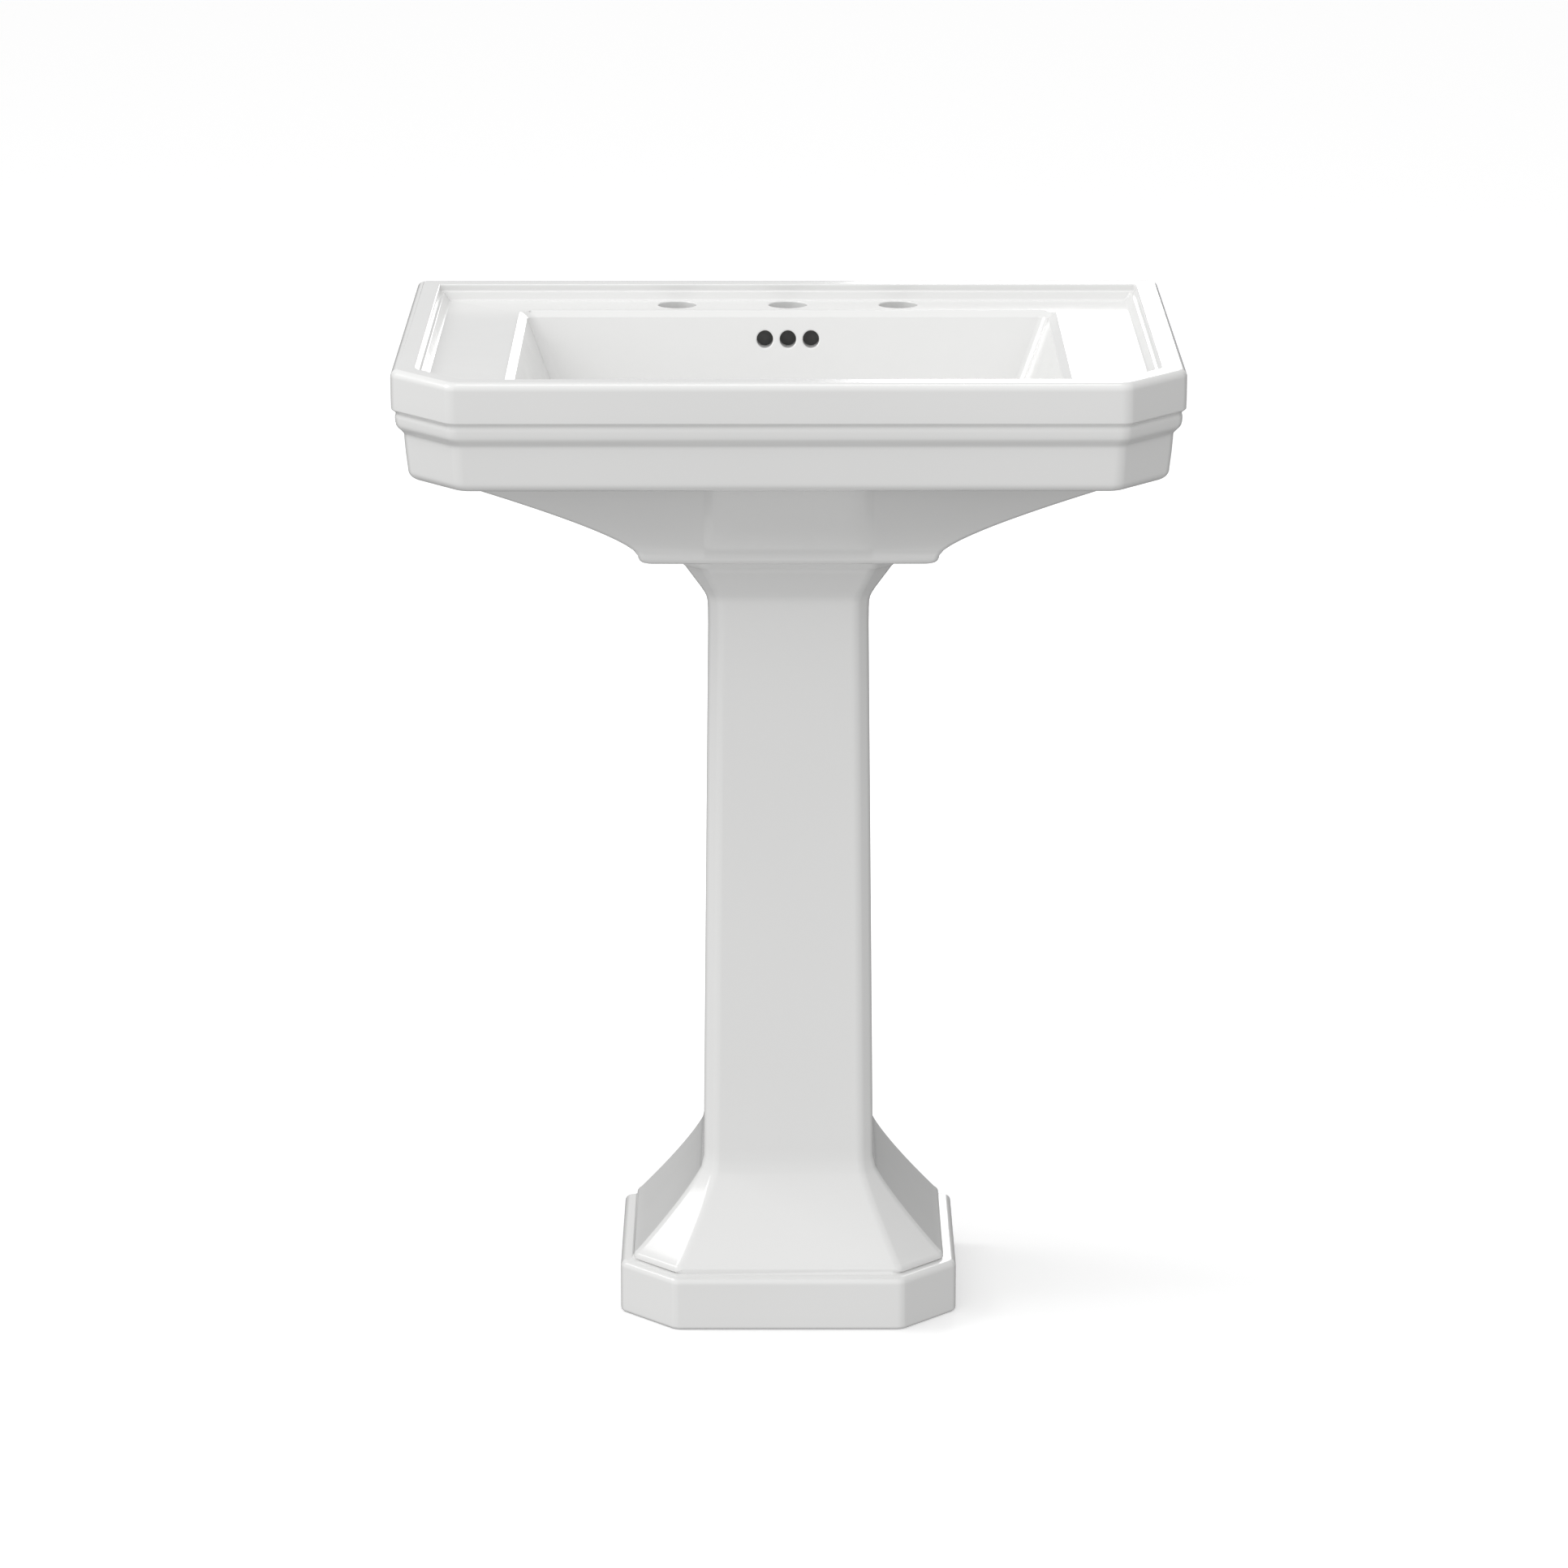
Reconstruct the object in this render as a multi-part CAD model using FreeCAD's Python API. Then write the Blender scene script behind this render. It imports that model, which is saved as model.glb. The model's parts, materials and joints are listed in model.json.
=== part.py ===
import FreeCAD, Part
import math
import os

# Pedestal sink: a rectangular basin with clipped front corners on a faceted pedestal,
# with its click-clack drain and its trap.  Millimetres.  +Z is up, the front faces -Y,
# the wall is at +Y, and the origin is on the floor in the middle of the basin's outline.

Vector = FreeCAD.Vector

# ---- driving dimensions -------------------------------------------------------------

WIDTH = 685.8
DEPTH = 483.0
HEIGHT = 889.0

# basin
CORNER_X = 53.0
CORNER_Y = 61.0
RIM_ROUND = 7.0
RIM_WIDTH = 22.0
DECK_DROP = 14.0
DECK_THICKNESS = 13.0
APRON_BOTTOM = 791.0
APRON_WALL = 14.0
BAND_STEP = 3.4
BAND_LIP = 0.6
BAND_TOP = 33.5
BAND_EDGE = 36.0
BAND_FACE_TOP = 38.5
COVE_TOP = 49.5
COVE_BOTTOM = 60.5
LOWER_BAND_INSET = 11.3
APRON_INSET = 13.7
APRON_ROUND = 9.0

# bowl
BOWL_HALF_WIDTH = 240.0
BOWL_FRONT = 52.0
BOWL_BACK = 391.0
BOWL_FLOOR = 752.0
BOWL_SIDE_SLOPE = 0.41
BOWL_END_SLOPE = 0.46
BOWL_ROUND = 20.0
BOWL_LOW_POINT = 745.0
BOWL_FALL_HALF = 140.0
BOWL_FALL_DEPTH = 84.0
SHELL = 12.0
CAVITY_LOW = 760.0
REAR_OPENING_HALF = 290.0

# underside and foot
FACET_HALF = 70.0
FOOT_HALF = 132.0
FOOT_FRONT = 112.0
FOOT_BACK = 338.0
FOOT_TOP = 712.0
FOOT_BOTTOM = 704.5
FOOT_BEVEL = 6.5
POCKET_HALF = 106.0
POCKET_WALL = 24.0
POCKET_TOP = 727.0
OUTLET_BOSS_R = 36.0
DUCT_RIB_HALF = 29.0
SWEEP_HALF = 320.0
SWEEP_FRONT = 28.0
SWEEP_BACK = 402.0
SWEEP_POWER = 1.37
SWEEP_STEPS = 8

# holes
FAUCET_SPACING = 101.6
FAUCET_FROM_FRONT = 437.5
FAUCET_HOLE_R = 17.5
OVERFLOW_PITCH = 21.0
OVERFLOW_R = 7.4
OVERFLOW_Z = 853.0
DUCT_HALF = 44.0
DUCT_LOW = 722.0
DUCT_DEPTH = 8.0
DUCT_FRONT_WALL = 10.0
DUCT_CASING_HALF = 56.0
DUCT_MOUTH_HALF = 17.0
DUCT_MOUTH_HEIGHT = 11.0
WALL_HOLE_SPACING = 280.0
WALL_HOLE_R = 6.5
WALL_HOLE_Z = 832.0

# pedestal
PEDESTAL_TOP = 701.5
PEDESTAL_BACK = 328.0
PEDESTAL_WALL = 12.0
PLINTH_HALF = 152.4
PLINTH_FRONT = 92.5
PLINTH_CORNER = 49.5
PLINTH_HEIGHT = 50.0
LEDGE = 11.5
LEDGE_CORNER = 40.5
LEDGE_ROUND = 3.4
FLARE_BOTTOM = 57.0
FLARE_POWER = 1.22
FLARE_STEPS = 8
FLARE_TOP = 131.0
COLUMN_HALF_LOW = 77.0
COLUMN_HALF_HIGH = 71.6
COLUMN_FRONT_LOW = 168.5
COLUMN_FRONT_HIGH = 173.0
COLUMN_CORNER = 11.0
CAPITAL_BOTTOM = 656.0
CAPITAL_BAND = 690.0
CAPITAL_HALF = 95.6
CAPITAL_FRONT = 148.0
CAPITAL_CORNER = 19.0
BACK_OPENING_HALF = 58.0
BACK_OPENING_TOP = 668.0
FLOOR_WEB = 14.0
FLOOR_HOLE_R = 5.5
FLOOR_HOLE_FROM_FRONT = 250.0
PAD_WIDTH = 10.0
PAD_LENGTH = 34.0
PAD_FROM_FRONT = (200.0, 292.0)

# drain fitting, on a vertical axis through the middle of the bowl
DRAIN_FROM_FRONT = 225.0
OUTLET_R = 22.4
FLANGE_R = 32.0
FLANGE_RECESS_R = 34.0
FLANGE_RECESS_Z = 741.5
SEAL_THICKNESS = 1.5
FLANGE_TOP = 745.6
BODY_R = 19.8
BODY_BORE_R = 16.6
BODY_BOTTOM = 640.0
THREAD_PITCH = 3.0
THREAD_DEPTH = 0.5
GASKET_HEIGHT = 11.0
WASHER_HEIGHT = 2.0
LOCKNUT_HEIGHT = 13.0
STOPPER_TRAVEL = 9.0
CAP_R = 31.0
STEM_R = 3.5
COLLAR_R = 7.5
CARTRIDGE_R = 8.0
CARTRIDGE_TOP = 716.0
CARTRIDGE_BOTTOM = 690.0
SPIDER_Z = 699.0
SPRING_R = 6.0
SPRING_WIRE_R = 0.7
SPRING_TURNS = 6
SPRING_LENGTH = 25.0
RUNNING_GAP = 0.05
PART_GAP = 0.3

# trap
PIPE_R = 15.9
PIPE_WALL = 1.1
SOCKET_R = 19.4
BEND_R = 38.0
ELBOW_R = 34.0
TAILPIECE_BOTTOM = 518.0
INLET_TOP = 545.0
BEND_CENTRE_Z = 466.0
UNION_Z = 490.0
ARM_Z = 542.0
SLIP_NUT_R = 24.5
ESCUTCHEON_R = 36.0
ESCUTCHEON_DEPTH = 13.0


# ---- small helpers ------------------------------------------------------------------

def from_front(distance):
    """Y of a place that is this far behind the basin's front edge."""
    return distance - DEPTH / 2


# the vertical axes of the drain and of the trap's second leg
DRAIN_Y = from_front(DRAIN_FROM_FRONT)
RISER_Y = DRAIN_Y + 2 * BEND_R


def mix(low, high, share):
    return low + (high - low) * share


def cylinder(radius, z_low, z_high, x=0.0, y=0.0):
    return Part.makeCylinder(radius, z_high - z_low, Vector(x, y, z_low))


def ring(outer, inner, z_low, z_high, x=0.0, y=0.0):
    return cylinder(outer, z_low, z_high, x, y).cut(cylinder(inner, z_low - 1, z_high + 1, x, y))


def block(x_low, x_high, y_low, y_high, z_low, z_high):
    size = (x_high - x_low, y_high - y_low, z_high - z_low)
    return Part.makeBox(size[0], size[1], size[2], Vector(x_low, y_low, z_low))


def hexagon(across_corners, z_low, z_high, x=0.0, y=0.0):
    angles = [math.radians(60 * step) for step in range(6)]
    points = [
        Vector(x + across_corners * math.cos(a), y + across_corners * math.sin(a), z_low)
        for a in angles
    ]
    face = Part.Face(Part.makePolygon(points + points[:1]))
    return face.extrude(Vector(0, 0, z_high - z_low))


def revolve(points, x=0.0, y=0.0):
    """Solid of revolution about the vertical line through (x, y), from (radius, z) points."""
    outline = [Vector(x + radius, y, z) for radius, z in points]
    face = Part.Face(Part.makePolygon(outline + outline[:1]))
    return face.revolve(Vector(x, y, 0), Vector(0, 0, 1), 360)


def rectangle(z, half, front, back):
    """Level outline of a rectangle about x = 0."""
    corners = [(half, front), (half, back), (-half, back), (-half, front)]
    points = [Vector(x, y, z) for x, y in corners]
    return Part.makePolygon(points + points[:1])


def clipped_outline(z, half, front, back, clip_x, clip_y, inset=0.0, back_inset=0.0):
    """Rectangle with its two front corners clipped, moved in by inset on the front and sides."""
    length = math.hypot(clip_x, clip_y)
    normal_x = clip_y / length
    normal_y = -clip_x / length
    reach = normal_x * half + normal_y * (front + clip_y) - inset
    front_y = front + inset
    side_x = half - inset
    back_y = back - back_inset
    front_x = (reach - normal_y * front_y) / normal_x
    corner_y = (reach - normal_x * side_x) / normal_y
    right = [(front_x, front_y), (side_x, corner_y), (side_x, back_y)]
    left = [(-x, y) for x, y in reversed(right)]
    points = [Vector(x, y, z) for x, y in right + left]
    return Part.makePolygon(points + points[:1])


def stack(outlines):
    """Solid through a list of outlines that all have the same number of corners."""
    return Part.makeLoft(outlines, True, True)


def bent_tube(points, radii, tube_radius):
    """Round bar along straight runs joined by tangent arcs at the inner points."""
    edges = []
    start = points[0]
    for index, radius in enumerate(radii, start=1):
        corner = points[index]
        back = (points[index - 1] - corner).normalize()
        ahead = (points[index + 1] - corner).normalize()
        half_angle = math.acos(back.dot(ahead)) / 2
        reach = radius / math.tan(half_angle)
        first = corner + back * reach
        last = corner + ahead * reach
        middle_way = (back + ahead).normalize()
        centre = corner + middle_way * (radius / math.sin(half_angle))
        middle = centre - middle_way * radius
        if (first - start).Length > 0.01:
            edges.append(Part.LineSegment(start, first).toShape())
        edges.append(Part.Arc(first, middle, last).toShape())
        start = last
    edges.append(Part.LineSegment(start, points[-1]).toShape())
    path = Part.Wire(edges)
    direction = (points[1] - points[0]).normalize()
    circle = Part.Wire(Part.makeCircle(tube_radius, points[0], direction))
    return path.makePipeShell([circle], True, True)


def save(name, shape):
    if len(shape.Solids) == 1:
        shape = shape.Solids[0]
    shape.exportStep("parts/" + name + ".step")
    volume = round(shape.Volume / 1000, 1)
    print(name, "solids", len(shape.Solids), "valid", shape.isValid(), "cm3", volume)


# ---- basin --------------------------------------------------------------------------

def basin_outline(z, inset, back_inset=0.0):
    front = from_front(0)
    return clipped_outline(
        z, WIDTH / 2, front, DEPTH / 2, CORNER_X, CORNER_Y, inset, back_inset
    )


def apron_profile():
    """Heights and insets of the basin's edge, from the bottom to the top."""
    steps = 4
    profile = []
    for step in range(steps + 1):
        angle = math.radians(90 * step / steps)
        inset = APRON_INSET + APRON_ROUND * (1 - math.sin(angle))
        profile.append((APRON_BOTTOM + APRON_ROUND * (1 - math.cos(angle)), inset))
    lip_inset = BAND_STEP + BAND_LIP
    profile.append((HEIGHT - COVE_BOTTOM, LOWER_BAND_INSET))
    for step in range(1, steps):
        share = step / steps
        wave = (1 + math.cos(math.pi * share)) / 2
        height = HEIGHT - mix(COVE_BOTTOM, COVE_TOP, share)
        profile.append((height, mix(lip_inset, LOWER_BAND_INSET, wave)))
    profile.append((HEIGHT - COVE_TOP, lip_inset))
    profile.append((HEIGHT - BAND_FACE_TOP, BAND_STEP))
    profile.append((HEIGHT - BAND_EDGE, BAND_STEP * 0.35))
    profile.append((HEIGHT - BAND_TOP, 0.0))
    for step in range(steps + 1):
        angle = math.radians(90 * step / steps)
        inset = RIM_ROUND * (1 - math.cos(angle))
        profile.append((HEIGHT - RIM_ROUND + RIM_ROUND * math.sin(angle), inset))
    return profile


def sweep_outline(z, z_shift=0.0, inset=0.0):
    """Level of the underside, which sweeps from the foot out to the apron."""
    rise = max(z - z_shift - FOOT_TOP, 0.0) / (APRON_BOTTOM - FOOT_TOP)
    half = FOOT_HALF + (SWEEP_HALF - FOOT_HALF) * rise ** SWEEP_POWER - inset
    front = FOOT_FRONT + (SWEEP_FRONT - FOOT_FRONT) * rise ** 1.2 + inset
    back = FOOT_BACK + (SWEEP_BACK - FOOT_BACK) * rise - inset
    recess = 0.25 * (half - FACET_HALF) * math.sqrt(rise) + 0.5
    right = [(FACET_HALF, front), (half, front + recess), (half, back)]
    left = [(-x, y) for x, y in reversed(right)]
    points = [Vector(x, from_front(y), z) for x, y in right + left]
    return Part.makePolygon(points + points[:1])


def sweep_levels(z_low, z_high, z_shift=0.0, inset=0.0):
    span = z_high - z_low
    heights = [z_low + span * step / SWEEP_STEPS for step in range(SWEEP_STEPS + 1)]
    return [sweep_outline(z, z_shift, inset) for z in heights]


def bowl_outline(z, margin=0.0):
    """Level of the bowl's straight walls, moved out by margin."""
    fall = HEIGHT - DECK_DROP - z
    half = BOWL_HALF_WIDTH - BOWL_SIDE_SLOPE * fall + margin
    front = from_front(BOWL_FRONT + BOWL_END_SLOPE * fall - margin)
    back = from_front(BOWL_BACK - BOWL_END_SLOPE * fall + margin)
    return rectangle(z, half, front, back)


def rounded_hollow(z_low, z_high, margin=0.0):
    """Bowl-shaped solid with its corners and its bottom edge rounded."""
    solid = stack([bowl_outline(z_low, margin), bowl_outline(z_high, margin)])
    rounded = [edge for edge in solid.Edges if edge.BoundBox.ZMin < z_low + 0.01]
    return solid.makeFillet(BOWL_ROUND, rounded)


def bowl_hollow():
    """Hollow of the bowl, with a floor that falls from all sides to the drain."""
    deck = HEIGHT - DECK_DROP
    hollow = rounded_hollow(BOWL_FLOOR, deck + 5)
    low_half = FLANGE_RECESS_R + 2
    fall = stack([
        rectangle(BOWL_LOW_POINT, low_half, DRAIN_Y - low_half, DRAIN_Y + low_half),
        rectangle(BOWL_FLOOR, BOWL_FALL_HALF, DRAIN_Y - BOWL_FALL_DEPTH, DRAIN_Y + BOWL_FALL_DEPTH),
    ])
    return hollow.fuse(fall)


def basin_cavity():
    """Hollow of the casting between the bowl and the outer skin, open at the rear underside."""
    deck_underside = HEIGHT - DECK_DROP - DECK_THICKNESS
    floor_top = APRON_BOTTOM + SHELL
    inner = APRON_INSET + APRON_WALL
    sweep = stack(sweep_levels(CAVITY_LOW, floor_top + 1, SHELL + 1, SHELL - 4))
    upper = stack([
        basin_outline(floor_top, inner, APRON_WALL),
        basin_outline(deck_underside, inner, APRON_WALL),
    ])
    rear = block(
        -REAR_OPENING_HALF, REAR_OPENING_HALF,
        from_front(SWEEP_BACK + 10), DEPTH / 2 - APRON_WALL, APRON_BOTTOM - 5, floor_top + 1,
    )
    cavity = upper.fuse(sweep).fuse(rear)
    shell = stack([bowl_outline(BOWL_FLOOR - SHELL, SHELL), bowl_outline(deck_underside + 1, SHELL)])
    casing = block(
        -DUCT_CASING_HALF, DUCT_CASING_HALF,
        from_front(BOWL_BACK - 60), from_front(SWEEP_BACK + 12), FOOT_BOTTOM, deck_underside + 1,
    )
    return cavity.cut(shell).cut(casing)


def overflow_duct():
    """Channel from the three overflow holes down the back of the bowl to the outlet."""
    top = OVERFLOW_Z + 12
    deck = HEIGHT - DECK_DROP
    wall_back = BOWL_BACK + DUCT_FRONT_WALL
    front_top = from_front(wall_back - BOWL_END_SLOPE * (deck - top))
    front_low = from_front(wall_back - BOWL_END_SLOPE * (deck - DUCT_LOW))
    duct = stack([
        rectangle(DUCT_LOW, DUCT_HALF, front_low, front_low + DUCT_DEPTH),
        rectangle(top, DUCT_HALF, front_top, front_top + DUCT_DEPTH),
    ])
    mouth_low = DUCT_LOW - 4
    mouth = block(
        -DUCT_MOUTH_HALF, DUCT_MOUTH_HALF, DRAIN_Y, front_low + DUCT_DEPTH,
        mouth_low, mouth_low + DUCT_MOUTH_HEIGHT,
    )
    duct = duct.fuse(mouth)
    for number in (-1, 0, 1):
        start = Vector(number * OVERFLOW_PITCH, from_front(BOWL_BACK - 40), OVERFLOW_Z)
        duct = duct.fuse(Part.makeCylinder(OVERFLOW_R, 42, start, Vector(0, 1, 0)))
    return duct


def foot_pocket():
    """Recess under the foot, with a boss left around the outlet and a rib over the duct."""
    low = FOOT_BOTTOM - 1
    high = POCKET_TOP + 1
    pocket = block(
        -POCKET_HALF, POCKET_HALF,
        from_front(FOOT_FRONT + POCKET_WALL), from_front(FOOT_BACK - POCKET_WALL), low, POCKET_TOP,
    )
    boss = cylinder(OUTLET_BOSS_R, low, high, 0, DRAIN_Y)
    rib = block(-DUCT_RIB_HALF, DUCT_RIB_HALF, DRAIN_Y, from_front(FOOT_BACK), low, high)
    return pocket.cut(boss).cut(rib)


def make_basin():
    basin = stack([basin_outline(z, inset) for z, inset in apron_profile()])
    foot = stack([
        sweep_outline(FOOT_BOTTOM, inset=FOOT_BEVEL),
        sweep_outline(FOOT_BOTTOM + 3.5, inset=FOOT_BEVEL * 0.35),
        sweep_outline(FOOT_TOP),
    ])
    underside = stack(sweep_levels(FOOT_TOP, APRON_BOTTOM + 0.5))
    basin = basin.fuse(underside).fuse(foot)
    recess = stack([
        basin_outline(HEIGHT - DECK_DROP, RIM_WIDTH + 8, RIM_WIDTH + 7),
        basin_outline(HEIGHT - 11.5, RIM_WIDTH + 3.6, RIM_WIDTH + 2.6),
        basin_outline(HEIGHT - 7.5, RIM_WIDTH + 2, RIM_WIDTH + 1),
        basin_outline(HEIGHT - 7.0, RIM_WIDTH + 0.6, RIM_WIDTH - 0.4),
        basin_outline(HEIGHT + 1, RIM_WIDTH, RIM_WIDTH - 1),
    ])
    basin = basin.cut(recess).cut(basin_cavity())
    basin = basin.cut(bowl_hollow()).cut(overflow_duct()).cut(foot_pocket())
    basin = basin.cut(cylinder(OUTLET_R, 690, 760, 0, DRAIN_Y))
    basin = basin.cut(cylinder(FLANGE_RECESS_R, FLANGE_RECESS_Z, 760, 0, DRAIN_Y))
    for number in (-1, 0, 1):
        hole_y = from_front(FAUCET_FROM_FRONT)
        basin = basin.cut(cylinder(FAUCET_HOLE_R, 850, 900, number * FAUCET_SPACING, hole_y))
    for side in (-1, 1):
        start = Vector(side * WALL_HOLE_SPACING / 2, DEPTH / 2 - APRON_WALL - 5, WALL_HOLE_Z)
        basin = basin.cut(Part.makeCylinder(WALL_HOLE_R, APRON_WALL + 10, start, Vector(0, 1, 0)))
    return basin


# ---- pedestal -----------------------------------------------------------------------

def pedestal_levels():
    """Heights, half widths, front places and corner clips of the pedestal, floor to top."""
    levels = []
    for z, inset in ((0.0, 3.0), (1.2, 1.2), (4.0, 0.0), (42.0, 0.0), (46.5, 1.4), (49.2, 4.2)):
        levels.append((z, PLINTH_HALF - inset, PLINTH_FRONT + inset, PLINTH_CORNER - 0.6 * inset))
    ledge_half = PLINTH_HALF - LEDGE
    ledge_front = PLINTH_FRONT + LEDGE
    for z, inset in ((PLINTH_HEIGHT, 0.0), (53.5, 0.6), (FLARE_BOTTOM, LEDGE_ROUND)):
        levels.append((z, ledge_half - inset, ledge_front + inset, LEDGE_CORNER - 0.5 * inset))
    start_half = ledge_half - LEDGE_ROUND
    start_front = ledge_front + LEDGE_ROUND
    start_corner = LEDGE_CORNER - 0.5 * LEDGE_ROUND
    for step in range(1, FLARE_STEPS):
        share = step / FLARE_STEPS
        out = (1 - share) ** FLARE_POWER
        levels.append((
            mix(FLARE_BOTTOM, FLARE_TOP, share),
            mix(COLUMN_HALF_LOW, start_half, out),
            mix(COLUMN_FRONT_LOW, start_front, out),
            mix(COLUMN_CORNER, start_corner, out),
        ))
    levels.append((FLARE_TOP + 16, COLUMN_HALF_LOW, COLUMN_FRONT_LOW, COLUMN_CORNER))
    levels.append((CAPITAL_BOTTOM - 10, COLUMN_HALF_HIGH, COLUMN_FRONT_HIGH, COLUMN_CORNER))
    for z, share in ((CAPITAL_BOTTOM, 0.03), (664.0, 0.12), (CAPITAL_BAND, 0.88), (695.0, 1.0)):
        levels.append((
            z,
            mix(COLUMN_HALF_HIGH, CAPITAL_HALF, share),
            mix(COLUMN_FRONT_HIGH, CAPITAL_FRONT, share),
            mix(COLUMN_CORNER, CAPITAL_CORNER, share),
        ))
    levels.append((PEDESTAL_TOP, CAPITAL_HALF, CAPITAL_FRONT, CAPITAL_CORNER))
    return levels


def pedestal_outline(level, inset=0.0):
    z, half, front, clip = level
    return clipped_outline(
        z, half, from_front(front), from_front(PEDESTAL_BACK), clip, clip, inset, inset
    )


def make_pedestal():
    levels = pedestal_levels()
    outer = stack([pedestal_outline(level) for level in levels])
    inner_levels = [level for level in levels if level[0] > FLOOR_WEB]
    first = inner_levels[0]
    last = inner_levels[-1]
    inner_levels.insert(0, (FLOOR_WEB,) + first[1:])
    inner_levels.append((PEDESTAL_TOP + 2,) + last[1:])
    inner = stack([pedestal_outline(level, PEDESTAL_WALL) for level in inner_levels])
    opening = block(
        -BACK_OPENING_HALF, BACK_OPENING_HALF, from_front(PEDESTAL_BACK - 40),
        from_front(PEDESTAL_BACK + 10), FLOOR_WEB, BACK_OPENING_TOP,
    )
    floor_hole = cylinder(FLOOR_HOLE_R, -5, FLOOR_WEB + 5, 0, from_front(FLOOR_HOLE_FROM_FRONT))
    return outer.cut(inner).cut(opening).cut(floor_hole)


def make_pads():
    """Four rubber strips on the rim of the capital, under the basin's foot."""
    x_outer = CAPITAL_HALF - 1
    pads = []
    for side in (-1, 1):
        for centre in PAD_FROM_FRONT:
            x_low, x_high = sorted((side * x_outer, side * (x_outer - PAD_WIDTH)))
            y_low = from_front(centre - PAD_LENGTH / 2)
            pads.append(block(x_low, x_high, y_low, y_low + PAD_LENGTH, PEDESTAL_TOP, FOOT_BOTTOM))
    return Part.makeCompound(pads)


# ---- drain fitting ------------------------------------------------------------------

def make_drain_body():
    """Flanged tube with overflow ports, an outside thread and a cross that holds the latch."""
    flange_bottom = FLANGE_RECESS_Z + SEAL_THICKNESS
    throat_bottom = flange_bottom - 2.5
    outline = [(BODY_BORE_R, BODY_BOTTOM), (BODY_R - THREAD_DEPTH, BODY_BOTTOM)]
    thread_top = 706.0
    turns = int((thread_top - BODY_BOTTOM) / THREAD_PITCH)
    for turn in range(turns):
        z = BODY_BOTTOM + turn * THREAD_PITCH
        outline.append((BODY_R, z + THREAD_PITCH * 0.4))
        outline.append((BODY_R - THREAD_DEPTH, z + THREAD_PITCH))
    outline += [
        (BODY_R, thread_top + 1),
        (BODY_R, flange_bottom),
        (FLANGE_R, flange_bottom),
        (FLANGE_R, flange_bottom + 1.2),
        (FLANGE_R - 2.5, FLANGE_TOP),
        (20.6, FLANGE_TOP),
        (18.2, throat_bottom + 1.5),
        (BODY_BORE_R, throat_bottom),
    ]
    body = revolve(outline, 0, DRAIN_Y)
    for quarter in range(4):
        port = block(-6, 6, 10, 30, 715, 728)
        port.rotate(Vector(0, 0, 0), Vector(0, 0, 1), 90 * quarter)
        port.translate(Vector(0, DRAIN_Y, 0))
        body = body.cut(port)
    for third in range(3):
        arm = block(-1.6, 1.6, CARTRIDGE_R + 0.3, BODY_BORE_R + 1, SPIDER_Z, SPIDER_Z + 8)
        arm.rotate(Vector(0, 0, 0), Vector(0, 0, 1), 120 * third + 45)
        arm.translate(Vector(0, DRAIN_Y, 0))
        body = body.fuse(arm)
    hub = ring(CARTRIDGE_R + 2.2, CARTRIDGE_R, SPIDER_Z, SPIDER_Z + 8, 0, DRAIN_Y)
    return body.fuse(hub)


def make_flange_seal():
    return ring(FLANGE_R - 1, OUTLET_R + 0.5, FLANGE_RECESS_Z, FLANGE_RECESS_Z + SEAL_THICKNESS, 0, DRAIN_Y)


def make_basin_gasket():
    """Tapered rubber gasket that closes the outlet from below."""
    bottom = FOOT_BOTTOM - GASKET_HEIGHT
    inner = BODY_R + RUNNING_GAP
    outline = [
        (inner, bottom), (30.0, bottom), (30.0, bottom + 5), (27.0, FOOT_BOTTOM), (inner, FOOT_BOTTOM)
    ]
    return revolve(outline, 0, DRAIN_Y)


def make_friction_washer():
    top = FOOT_BOTTOM - GASKET_HEIGHT
    return ring(28.5, BODY_R + RUNNING_GAP, top - WASHER_HEIGHT, top, 0, DRAIN_Y)


def make_locknut():
    top = FOOT_BOTTOM - GASKET_HEIGHT - WASHER_HEIGHT
    nut = hexagon(31.0, top - LOCKNUT_HEIGHT, top, 0, DRAIN_Y)
    rounded = revolve([
        (0.0, top - LOCKNUT_HEIGHT), (27.5, top - LOCKNUT_HEIGHT), (31.0, top - LOCKNUT_HEIGHT + 2.5),
        (31.0, top), (0.0, top),
    ], 0, DRAIN_Y)
    return nut.common(rounded).cut(cylinder(BODY_R + RUNNING_GAP, top - 40, top + 5, 0, DRAIN_Y))


def make_stopper_cap():
    """Domed metal cap that covers the flange, standing open above it."""
    low = FLANGE_TOP + PART_GAP + STOPPER_TRAVEL
    outline = [
        (0.0, low + 1.0), (CAP_R - 3, low + 1.0), (CAP_R - 3, low),
        (CAP_R - 0.6, low), (CAP_R, low + 0.6),
    ]
    steps = 6
    for step in range(steps):
        angle = math.radians(15 + 75 * step / steps)
        outline.append((CAP_R * math.cos(angle) * 1.02, low + 0.6 + 4.2 * math.sin(angle)))
    outline.append((0.0, low + 4.9))
    return revolve(outline, 0, DRAIN_Y)


def make_stopper_seal():
    """Rubber ring under the cap that closes the flange's throat."""
    low = FLANGE_TOP + STOPPER_TRAVEL - 3.0
    top = FLANGE_TOP + STOPPER_TRAVEL + PART_GAP + 1.0
    outline = [(COLLAR_R, low), (17.9, low), (19.6, low + 2.2), (19.6, top), (COLLAR_R, top)]
    return revolve(outline, 0, DRAIN_Y)


def make_stopper_stem():
    """Rod with the boss that the cap screws on to and the collar that the spring pushes."""
    top = FLANGE_TOP + STOPPER_TRAVEL + PART_GAP + 1.0
    bottom = CARTRIDGE_BOTTOM + STOPPER_TRAVEL + 4
    collar = CARTRIDGE_TOP + SPRING_LENGTH
    outline = [
        (0.0, bottom), (STEM_R, bottom), (STEM_R, collar), (COLLAR_R, collar), (COLLAR_R, top), (0.0, top)
    ]
    return revolve(outline, 0, DRAIN_Y)


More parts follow.
